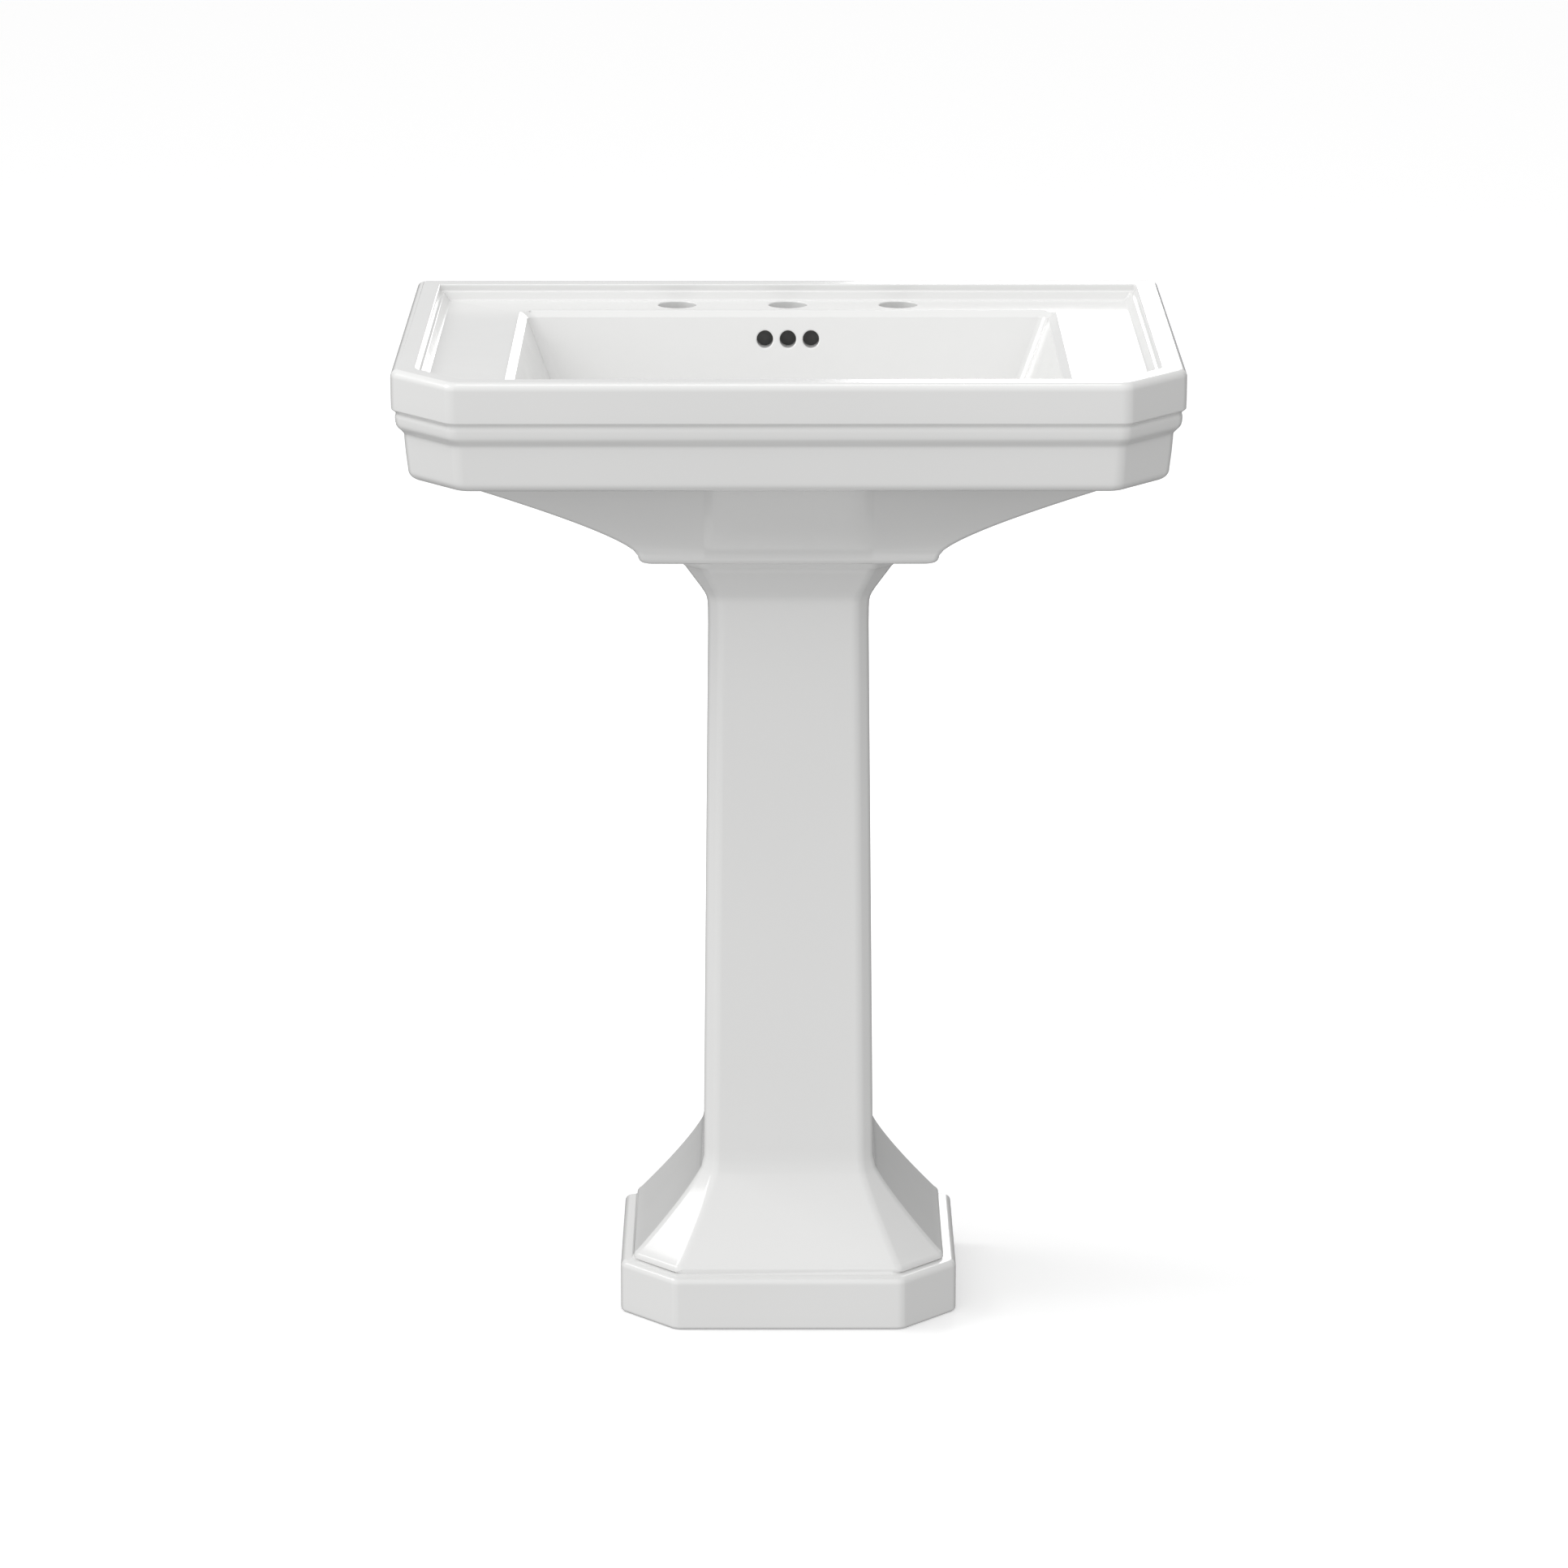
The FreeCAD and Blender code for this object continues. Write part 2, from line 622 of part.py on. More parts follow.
def make_latch_cartridge():
    """Sleeve in the drain's cross that holds the push-push latch."""
    outline = [
        (STEM_R + RUNNING_GAP, CARTRIDGE_BOTTOM + 14), (CARTRIDGE_R - 0.02, CARTRIDGE_BOTTOM + 9),
        (CARTRIDGE_R - 0.02, SPIDER_Z + 8), (CARTRIDGE_R + 1.2, SPIDER_Z + 8),
        (CARTRIDGE_R + 1.2, CARTRIDGE_TOP), (STEM_R + RUNNING_GAP, CARTRIDGE_TOP),
    ]
    return revolve(outline, 0, DRAIN_Y)


def make_latch_clip():
    """Snap ring that keeps the cartridge in the cross."""
    return ring(CARTRIDGE_R + 1.4, CARTRIDGE_R + 0.02 - 1.5, SPIDER_Z - 1.5, SPIDER_Z, 0, DRAIN_Y)


def make_stopper_spring():
    low = CARTRIDGE_TOP + SPRING_WIRE_R + 0.1
    high = CARTRIDGE_TOP + SPRING_LENGTH - SPRING_WIRE_R - 0.1
    helix = Part.makeHelix((high - low) / SPRING_TURNS, high - low, SPRING_R)
    helix.translate(Vector(0, DRAIN_Y, low))
    start = Vector(SPRING_R, DRAIN_Y, low)
    circle = Part.Wire(Part.makeCircle(SPRING_WIRE_R, start, Vector(0, 1, 0)))
    return Part.Wire(helix.Edges).makePipeShell([circle], True, True)


# ---- tailpiece and trap -------------------------------------------------------------

def make_tailpiece():
    sleeve_top = BODY_BOTTOM + 14
    outline = [
        (PIPE_R - PIPE_WALL, TAILPIECE_BOTTOM), (PIPE_R, TAILPIECE_BOTTOM), (PIPE_R, BODY_BOTTOM - 4),
        (SOCKET_R, BODY_BOTTOM - 4), (SOCKET_R, BODY_BOTTOM - 1.5),
        (BODY_BORE_R - RUNNING_GAP, BODY_BOTTOM - 1.5),
        (BODY_BORE_R - RUNNING_GAP, sleeve_top), (PIPE_R - PIPE_WALL, sleeve_top),
    ]
    return revolve(outline, 0, DRAIN_Y)


def make_tailpiece_seal():
    return ring(SOCKET_R, BODY_BORE_R, BODY_BOTTOM - 1.5, BODY_BOTTOM, 0, DRAIN_Y)


def socket(z_low, z_high, bore, y):
    """Threaded end of a trap tube."""
    outline = [(bore, z_low), (SOCKET_R - THREAD_DEPTH, z_low)]
    turns = int((z_high - z_low) / THREAD_PITCH)
    for turn in range(turns):
        z = z_low + turn * THREAD_PITCH
        outline.append((SOCKET_R, z + THREAD_PITCH * 0.4))
        outline.append((SOCKET_R - THREAD_DEPTH, z + THREAD_PITCH))
    outline += [(SOCKET_R - THREAD_DEPTH, z_high), (bore, z_high)]
    return revolve(outline, 0, y)


def hex_nut(z_low, z_high, bore, lip_bore, y):
    """Coupling nut with a lip on its top that holds a washer."""
    neck = cylinder(SLIP_NUT_R - 3, z_high - 3.5, z_high, 0, y)
    nut = hexagon(SLIP_NUT_R, z_low, z_high - 3, 0, y).fuse(neck)
    nut = nut.cut(cylinder(bore, z_low - 1, z_high - 2.5, 0, y))
    return nut.cut(cylinder(lip_bore, z_low - 1, z_high + 1, 0, y))


def make_slip_nut():
    return hex_nut(INLET_TOP - 12, INLET_TOP + 7, SOCKET_R + RUNNING_GAP, PIPE_R + PART_GAP, DRAIN_Y)


def make_slip_washer():
    outline = [
        (PIPE_R + RUNNING_GAP, INLET_TOP), (SOCKET_R - 0.3, INLET_TOP),
        (SOCKET_R - 0.3, INLET_TOP + 2.5), (PIPE_R + RUNNING_GAP, INLET_TOP + 4),
    ]
    return revolve(outline, 0, DRAIN_Y)


def make_j_bend():
    """U-shaped tube with a threaded inlet, a flanged outlet and a clean-out boss."""
    outlet_top = UNION_Z - 2
    start = Vector(0, DRAIN_Y, INLET_TOP - 26)
    end = Vector(0, RISER_Y, outlet_top)
    low = BEND_CENTRE_Z - BEND_R
    points = [start, Vector(0, DRAIN_Y, low), Vector(0, RISER_Y, low), end]
    radii = [BEND_R * 0.999, BEND_R * 0.999]
    solid = bent_tube(points, radii, PIPE_R)
    hollow = bent_tube(points, radii, PIPE_R - PIPE_WALL)
    inlet = cylinder(SOCKET_R - THREAD_DEPTH, INLET_TOP - 30, INLET_TOP - 18, 0, DRAIN_Y)
    boss = cylinder(13.0, low - PIPE_R - 7, low - 4, 0, DRAIN_Y + BEND_R)
    collar = cylinder(SOCKET_R - 0.2, outlet_top - 4, outlet_top, 0, RISER_Y)
    thread = socket(INLET_TOP - 18, INLET_TOP, PIPE_R + 0.1, DRAIN_Y)
    solid = solid.fuse(inlet).fuse(boss).fuse(collar).fuse(thread)
    solid = solid.cut(cylinder(PIPE_R + 0.1, INLET_TOP - 28, INLET_TOP + 1, 0, DRAIN_Y))
    solid = solid.cut(hollow)
    solid = solid.cut(cylinder(PIPE_R - PIPE_WALL, outlet_top - 6, outlet_top + 1, 0, RISER_Y))
    return solid.cut(cylinder(8.0, low - PIPE_R - 10, low, 0, DRAIN_Y + BEND_R))


def make_cleanout_gasket():
    top = BEND_CENTRE_Z - BEND_R - PIPE_R - 7
    return ring(12.0, 8.2, top - 1.5, top, 0, DRAIN_Y + BEND_R)


def make_cleanout_plug():
    top = BEND_CENTRE_Z - BEND_R - PIPE_R - 7
    y = DRAIN_Y + BEND_R
    head = hexagon(13.5, top - 8, top - 1.5, 0, y)
    shank = cylinder(8.0 - RUNNING_GAP, top - 2, top + 7, 0, y)
    return head.fuse(shank)


def make_union_washer():
    return ring(SOCKET_R - 0.6, PIPE_R - PIPE_WALL, UNION_Z - 2, UNION_Z, 0, RISER_Y)


def make_union_nut():
    """Nut turned the other way up: its lip is under the bend's collar."""
    nut = hex_nut(-13.0, 7.0, SOCKET_R + RUNNING_GAP, PIPE_R + PART_GAP, 0.0)
    nut.rotate(Vector(0, 0, 0), Vector(1, 0, 0), 180)
    nut.translate(Vector(0, RISER_Y, UNION_Z - 1.5))
    return nut


def make_trap_arm():
    """Threaded riser, a bend and the straight run to the wall."""
    points = [
        Vector(0, RISER_Y, UNION_Z + 10), Vector(0, RISER_Y, ARM_Z), Vector(0, DEPTH / 2, ARM_Z)
    ]
    solid = bent_tube(points, [ELBOW_R], PIPE_R)
    hollow = bent_tube(points, [ELBOW_R], PIPE_R - PIPE_WALL)
    thread = socket(UNION_Z, UNION_Z + 13, PIPE_R - PIPE_WALL, RISER_Y)
    return solid.fuse(thread).cut(hollow)


def make_wall_escutcheon():
    """Bell-shaped cover plate around the arm, against the wall."""
    wall = DEPTH / 2
    wall_gap = PIPE_R + PART_GAP
    outline = [
        (wall_gap, 0.0), (wall_gap + 1.6, 0.0), (wall_gap + 1.6, 5.0), (wall_gap + 3.0, 7.5),
        (ESCUTCHEON_R - 6, 10.0), (ESCUTCHEON_R, ESCUTCHEON_DEPTH - 0.8), (ESCUTCHEON_R, ESCUTCHEON_DEPTH),
        (ESCUTCHEON_R - 7, 11.6), (wall_gap + 2.0, 9.0), (wall_gap, 6.0),
    ]
    plate = revolve(outline)
    plate.rotate(Vector(0, 0, 0), Vector(1, 0, 0), -90)
    plate.translate(Vector(0, wall - ESCUTCHEON_DEPTH, ARM_Z))
    return plate


# ---- write the parts ----------------------------------------------------------------

def main():
    os.makedirs("parts", exist_ok=True)
    save("basin", make_basin())
    save("pedestal", make_pedestal())
    save("pedestal_pads", make_pads())
    save("drain_body", make_drain_body())
    save("flange_seal", make_flange_seal())
    save("basin_gasket", make_basin_gasket())
    save("friction_washer", make_friction_washer())
    save("drain_locknut", make_locknut())
    save("stopper_cap", make_stopper_cap())
    save("stopper_seal", make_stopper_seal())
    save("stopper_stem", make_stopper_stem())
    save("latch_cartridge", make_latch_cartridge())
    save("latch_clip", make_latch_clip())
    save("stopper_spring", make_stopper_spring())
    save("tailpiece", make_tailpiece())
    save("tailpiece_seal", make_tailpiece_seal())
    save("trap_slip_nut", make_slip_nut())
    save("trap_slip_washer", make_slip_washer())
    save("trap_j_bend", make_j_bend())
    save("cleanout_gasket", make_cleanout_gasket())
    save("cleanout_plug", make_cleanout_plug())
    save("trap_union_washer", make_union_washer())
    save("trap_union_nut", make_union_nut())
    save("trap_arm", make_trap_arm())
    save("wall_escutcheon", make_wall_escutcheon())


main()
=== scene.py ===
import json
import logging
import math
from dataclasses import dataclass, field
from enum import Enum
from typing import Callable, Iterable, Sequence

import bmesh
import bpy
from bmesh.types import BMEdge, BMesh, BMFace, BMVert
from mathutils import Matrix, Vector


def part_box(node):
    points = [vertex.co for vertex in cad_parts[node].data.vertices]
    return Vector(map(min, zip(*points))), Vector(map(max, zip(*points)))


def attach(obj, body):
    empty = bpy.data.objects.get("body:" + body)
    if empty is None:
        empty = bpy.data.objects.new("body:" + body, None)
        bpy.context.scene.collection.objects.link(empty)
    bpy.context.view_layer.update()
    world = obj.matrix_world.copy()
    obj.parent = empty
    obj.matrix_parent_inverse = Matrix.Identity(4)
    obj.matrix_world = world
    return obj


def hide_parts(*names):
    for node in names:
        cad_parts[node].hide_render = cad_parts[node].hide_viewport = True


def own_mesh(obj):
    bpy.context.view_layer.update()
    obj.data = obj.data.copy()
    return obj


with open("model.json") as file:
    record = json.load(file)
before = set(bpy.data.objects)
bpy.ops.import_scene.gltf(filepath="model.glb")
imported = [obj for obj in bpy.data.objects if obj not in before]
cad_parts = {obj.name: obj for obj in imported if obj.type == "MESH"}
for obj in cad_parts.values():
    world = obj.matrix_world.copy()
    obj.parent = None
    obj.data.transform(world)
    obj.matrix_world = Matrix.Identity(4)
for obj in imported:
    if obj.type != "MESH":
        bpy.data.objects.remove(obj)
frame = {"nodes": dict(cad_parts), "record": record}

LOG = logging.getLogger("pedestal_sink")
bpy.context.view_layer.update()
MM = 0.001
NEAR = 1e-5  # places closer than this count as the same
MERGE = 1e-6  # vertices closer than this become one
SHARP = math.radians(32)  # edges that turn more than this stay crisp
RIGHT, BACK, UP = Vector((1, 0, 0)), Vector((0, 1, 0)), Vector((0, 0, 1))
Level = tuple[float, float, float, float]


class Body(Enum):
    """The rigid bodies of the sink, by their names in the frame."""

    SINK = "sink"
    STOPPER = "stopper"


# ---- mesh helpers ---------------------------------------------------------------------


def verts_of(geometry: Iterable[object]) -> list[BMVert]:
    """Picks the vertices out of an operator's results."""
    return [item for item in geometry if isinstance(item, BMVert)]


def ring_edges(ring: Sequence[BMVert]) -> list[BMEdge]:
    """Edges that join a closed ring of vertices in order.

    Args:
        ring: Vertices in order round the ring.

    Returns:
        The edge after each vertex.
    """
    edges = []
    for index, vert in enumerate(ring):
        following = ring[(index + 1) % len(ring)]
        edges.append(next(edge for edge in vert.link_edges if edge.other_vert(vert) is following))
    return edges


def start_ring(bm: BMesh, points: Sequence[Vector]) -> list[BMVert]:
    """Makes the first ring of a wall from its few corners.

    Args:
        bm: Mesh to add to.
        points: Corners in order.

    Returns:
        The new vertices in the same order.
    """
    ring = [bm.verts.new(point) for point in points]
    for index, vert in enumerate(ring):
        bm.edges.new((vert, ring[(index + 1) % len(ring)]))
    return ring


def extrude_ring(bm: BMesh, ring: Sequence[BMVert], points: Sequence[Vector]) -> list[BMVert]:
    """Extrudes a closed ring and moves each new vertex to its place.

    Args:
        bm: Mesh that holds the ring.
        ring: Vertices in order round the ring.
        points: Where the new vertices go, in the same order.

    Returns:
        The new ring in the same order.
    """
    result = bmesh.ops.extrude_edge_only(bm, edges=ring_edges(ring))
    fresh = set(verts_of(result["geom"]))
    following = []
    for vert, point in zip(ring, points):
        new = next(edge.other_vert(vert) for edge in vert.link_edges if edge.other_vert(vert) in fresh)
        bmesh.ops.translate(bm, verts=[new], vec=point - new.co)
        following.append(new)
    return following


def loft(bm: BMesh, levels: Sequence[Sequence[Vector]]) -> list[list[BMVert]]:
    """Wall through a list of outlines that all have the same number of corners.

    Args:
        bm: Mesh to add to.
        levels: Outlines in order along the wall.

    Returns:
        One ring of vertices for each outline.
    """
    rings = [start_ring(bm, levels[0])]
    for points in levels[1:]:
        rings.append(extrude_ring(bm, rings[-1], points))
    return rings


def rail(rings: Sequence[Sequence[BMVert]], corner: int) -> list[BMEdge]:
    """Edges that run along a wall through one corner of every ring.

    Args:
        rings: The wall's rings in order.
        corner: Place of the corner in each ring.

    Returns:
        One edge between each ring and the next.
    """
    edges = []
    for low, high in zip(rings, rings[1:]):
        start, end = low[corner], high[corner]
        edges.append(next(edge for edge in start.link_edges if edge.other_vert(start) is end))
    return edges


def round_edges(bm: BMesh, edges: Sequence[BMEdge], width: float, segments: int) -> None:
    """Rounds edges with an arc.

    Args:
        bm: Mesh that holds the edges.
        edges: Edges to round.
        width: How far the rounding reaches along each face, in metres.
        segments: Steps in the arc.
    """
    bmesh.ops.bevel(
        bm, geom=list(edges), offset=width, offset_type="OFFSET", affect="EDGES",
        segments=segments, profile=0.5, material=-1, clamp_overlap=True,
    )


def open_edges(bm: BMesh, wanted: Callable[[Vector], bool]) -> list[BMEdge]:
    """Edges with fewer than two faces whose two ends are both wanted."""
    return [e for e in bm.edges if len(e.link_faces) < 2 and all(wanted(v.co) for v in e.verts)]


def fill_flat(bm: BMesh, edges: Sequence[BMEdge], normal: Vector) -> None:
    """Closes a flat area between loops of edges; inner loops stay open as holes.

    Args:
        bm: Mesh that holds the loops.
        edges: Edges of the outer loop and of any inner loops.
        normal: Direction that the new faces point in.
    """
    bmesh.ops.triangle_fill(bm, use_beauty=True, use_dissolve=False, edges=list(edges), normal=normal)


def circle_points(centre: Vector, radius: float, count: int, across: Vector, up: Vector) -> list[Vector]:
    """Points on a circle or, with unequal directions, on an ellipse.

    Args:
        centre: Middle of the circle.
        radius: Radius in metres, multiplied by the length of each direction.
        count: Number of points.
        across: First direction in the circle's plane.
        up: Second direction in the circle's plane.

    Returns:
        The points in order.
    """
    points = []
    for index in range(count):
        angle = 2 * math.pi * (index + 0.5) / count
        points.append(centre + radius * (across * math.cos(angle) + up * math.sin(angle)))
    return points


def arc_steps(count: int, start: float, end: float) -> list[float]:
    """Angles from start to end in degrees, given back in radians, start left out."""
    return [math.radians(start + (end - start) * step / count) for step in range(1, count + 1)]


def mix(low: float, high: float, share: float) -> float:
    """Value that lies a share of the way from low to high."""
    return low + (high - low) * share


def finish_piece(name: str, bm: BMesh, materials: Sequence[bpy.types.Material]) -> bpy.types.Object:
    """Turns a finished mesh into an object with smooth, evenly weighted normals.

    Args:
        name: Name of the piece.
        bm: Closed mesh; it is freed here.
        materials: Materials in slot order.

    Returns:
        The linked object.
    """
    bmesh.ops.remove_doubles(bm, verts=bm.verts[:], dist=MERGE)
    bmesh.ops.dissolve_degenerate(bm, dist=MERGE / 10, edges=bm.edges[:])
    bmesh.ops.recalc_face_normals(bm, faces=bm.faces[:])
    loose = sum(1 for edge in bm.edges if len(edge.link_faces) != 2)
    triangles = sum(len(face.verts) - 2 for face in bm.faces)
    for face in bm.faces:
        face.smooth = True
    for edge in bm.edges:
        edge.smooth = len(edge.link_faces) == 2 and edge.calc_face_angle(0.0) < SHARP
    mesh = bpy.data.meshes.new(name)
    bm.to_mesh(mesh)
    bm.free()
    piece = bpy.data.objects.new(name, mesh)
    bpy.context.scene.collection.objects.link(piece)
    for material in materials:
        mesh.materials.append(material)
    even = piece.modifiers.new("even_normals", "WEIGHTED_NORMAL")
    even.keep_sharp = True
    LOG.info("%s: %d triangles, %d open edges", name, triangles, loose)
    return piece


# ---- finishes -------------------------------------------------------------------------


class NodeKit:
    """Small builder for one material's nodes."""

    NOISE_LOW = 0.3
    NOISE_HIGH = 0.7

    def __init__(self, name: str) -> None:
        """Starts a material with a principled shader and Object coordinates.

        Args:
            name: Name of the material.
        """
        self.material = bpy.data.materials.new(name)
        self.material.use_nodes = True
        self.nodes = self.material.node_tree.nodes
        self.links = self.material.node_tree.links
        self.shader = self.nodes["Principled BSDF"]
        self.place = self.nodes.new("ShaderNodeTexCoord").outputs["Object"]

    def set(self, **values: object) -> None:
        """Sets shader sockets by name, with _ for a space."""
        for name, value in values.items():
            self.shader.inputs[name.replace("_", " ")].default_value = value

    def noise(self, scale: float, detail: float, stretch: Vector | None = None) -> bpy.types.NodeSocket:
        """Noise over the piece.

        Args:
            scale: Cells per metre.
            detail: Octaves.
            stretch: Scale of each axis, for brushed or drawn grain.

        Returns:
            The noise value's socket.
        """
        place = self.place
        if stretch is not None:
            mapping = self.nodes.new("ShaderNodeMapping")
            mapping.inputs["Scale"].default_value = stretch
            self.links.new(place, mapping.inputs["Vector"])
            place = mapping.outputs["Vector"]
        noise = self.nodes.new("ShaderNodeTexNoise")
        noise.inputs["Scale"].default_value = scale
        noise.inputs["Detail"].default_value = detail
        self.links.new(place, noise.inputs["Vector"])
        return noise.outputs["Fac"]

    def spread(self, value: bpy.types.NodeSocket, low: float, high: float) -> bpy.types.NodeSocket:
        """Maps the middle of a noise value's range to another range.

        Args:
            value: Noise value's socket.
            low: Result for the low end of the noise.
            high: Result for the high end of the noise.

        Returns:
            The mapped value's socket.
        """
        node = self.nodes.new("ShaderNodeMapRange")
        node.inputs["From Min"].default_value = self.NOISE_LOW
        node.inputs["From Max"].default_value = self.NOISE_HIGH
        node.inputs["To Min"].default_value = low
        node.inputs["To Max"].default_value = high
        self.links.new(value, node.inputs["Value"])
        return node.outputs["Result"]

    def tint(self, value: bpy.types.NodeSocket, low: Sequence[float], high: Sequence[float]) -> None:
        """Colours the piece between two colours.

        Args:
            value: Noise value's socket.
            low: Colour at the low end of the noise.
            high: Colour at the high end of the noise.
        """
        ramp = self.nodes.new("ShaderNodeValToRGB")
        ramp.color_ramp.elements[0].position = self.NOISE_LOW
        ramp.color_ramp.elements[0].color = (*low, 1.0)
        ramp.color_ramp.elements[1].position = self.NOISE_HIGH
        ramp.color_ramp.elements[1].color = (*high, 1.0)
        self.links.new(value, ramp.inputs["Fac"])
        self.links.new(ramp.outputs["Color"], self.shader.inputs["Base Color"])

    def roughen(self, value: bpy.types.NodeSocket, low: float, high: float) -> None:
        """Varies the roughness between two values."""
        self.links.new(self.spread(value, low, high), self.shader.inputs["Roughness"])

    def bump(self, height: bpy.types.NodeSocket, distance: float, strength: float) -> None:
        """Adds a bump layer on top of any earlier one.

        Args:
            height: Height pattern.
            distance: Full height in metres.
            strength: Share of the bump that shows.
        """
        node = self.nodes.new("ShaderNodeBump")
        node.inputs["Distance"].default_value = distance
        node.inputs["Strength"].default_value = strength
        self.links.new(height, node.inputs["Height"])
        normal = self.shader.inputs["Normal"]
        if normal.is_linked:
            self.links.new(normal.links[0].from_socket, node.inputs["Normal"])
        self.links.new(node.outputs["Normal"], normal)


@dataclass(frozen=True)
class Glaze:
    """Thick white glaze fired on vitreous china."""

    name: str = "white_glaze"
    thin: tuple[float, float, float] = (0.775, 0.775, 0.768)
    thick: tuple[float, float, float] = (0.80, 0.80, 0.793)
    roughness: tuple[float, float] = (0.15, 0.21)

    def make(self) -> bpy.types.Material:
        """Makes the material.

        Returns:
            The new material.
        """
        kit = NodeKit(self.name)
        kit.set(IOR=1.5, Coat_Weight=0.6, Coat_Roughness=0.13, Coat_IOR=1.55)
        kit.tint(kit.noise(3.0, 2.0), self.thin, self.thick)
        kit.roughen(kit.noise(14.0, 3.0), *self.roughness)
        kit.bump(kit.noise(14.0, 1.0), 0.0001, 0.08)
        kit.bump(kit.noise(320.0, 2.0), 0.00001, 0.06)
        return kit.material


@dataclass(frozen=True)
class PaintedShadeClay:
    """Unglazed china inside the overflow channel; its dark grey colour is painted shade, not the body's own
    colour.
    """

    name: str = "dark_clay_painted_shade"

    def make(self) -> bpy.types.Material:
        """Makes the material.

        Returns:
            The new material.
        """
        kit = NodeKit(self.name)
        # the dark grey is painted shade deep in the overflow channel
        kit.tint(kit.noise(60.0, 4.0), (0.16, 0.16, 0.16), (0.22, 0.22, 0.215))
        kit.roughen(kit.noise(90.0, 3.0), 0.75, 0.9)
        kit.bump(kit.noise(500.0, 5.0), 0.0002, 0.3)
        return kit.material


@dataclass(frozen=True)
class Metal:
    """Plated or bare metal with fine marks."""

    name: str
    dark: tuple[float, float, float]
    light: tuple[float, float, float]
    roughness: tuple[float, float]
    grain: float
    stretch: tuple[float, float, float] = (1.0, 1.0, 1.0)

    def make(self) -> bpy.types.Material:
        """Makes the material.

        Returns:
            The new material.
        """
        kit = NodeKit(self.name)
        kit.set(Metallic=1.0)
        kit.tint(kit.noise(35.0, 3.0), self.dark, self.light)
        kit.roughen(kit.noise(self.grain, 4.0, Vector(self.stretch)), *self.roughness)
        kit.bump(kit.noise(self.grain, 4.0, Vector(self.stretch)), 0.00002, 0.25)
        return kit.material


@dataclass(frozen=True)
class Moulded:
    """Moulded rubber or plastic with a fine skin."""

    name: str
    dark: tuple[float, float, float]
    light: tuple[float, float, float]
    roughness: tuple[float, float]

    def make(self) -> bpy.types.Material:
        """Makes the material.

        Returns:
            The new material.
        """
        kit = NodeKit(self.name)
        kit.tint(kit.noise(80.0, 3.0), self.dark, self.light)
        kit.roughen(kit.noise(250.0, 3.0), *self.roughness)
        kit.bump(kit.noise(900.0, 4.0), 0.00004, 0.3)
        return kit.material


@dataclass(frozen=True)
class StudioFloor:
    """Plain pale studio sweep."""

    name: str = "studio_floor"

    def make(self) -> bpy.types.Material:
        """Makes the material.

        Returns:
            The new material.
        """
        kit = NodeKit(self.name)
        kit.set(Base_Color=(0.92, 0.92, 0.92, 1.0), Roughness=0.9, Specular_IOR_Level=0.1)
        kit.set(Emission_Color=(1.0, 1.0, 1.0, 1.0), Emission_Strength=0.21)
        return kit.material


CHROME = Metal("polished_chrome", (0.62, 0.63, 0.65), (0.72, 0.73, 0.75), (0.05, 0.12), 260.0)
PLATED_BRASS = Metal("satin_nickel", (0.50, 0.49, 0.47), (0.60, 0.59, 0.57), (0.18, 0.30), 420.0)
SPRING_STEEL = Metal("spring_steel", (0.42, 0.42, 0.43), (0.55, 0.55, 0.56), (0.25, 0.4), 700.0)
RUBBER = Moulded("black_rubber", (0.018, 0.018, 0.019), (0.03, 0.03, 0.031), (0.55, 0.75))
WHITE_PLASTIC = Moulded("white_plastic", (0.70, 0.70, 0.68), (0.78, 0.78, 0.76), (0.35, 0.5))


# ---- basin ----------------------------------------------------------------------------


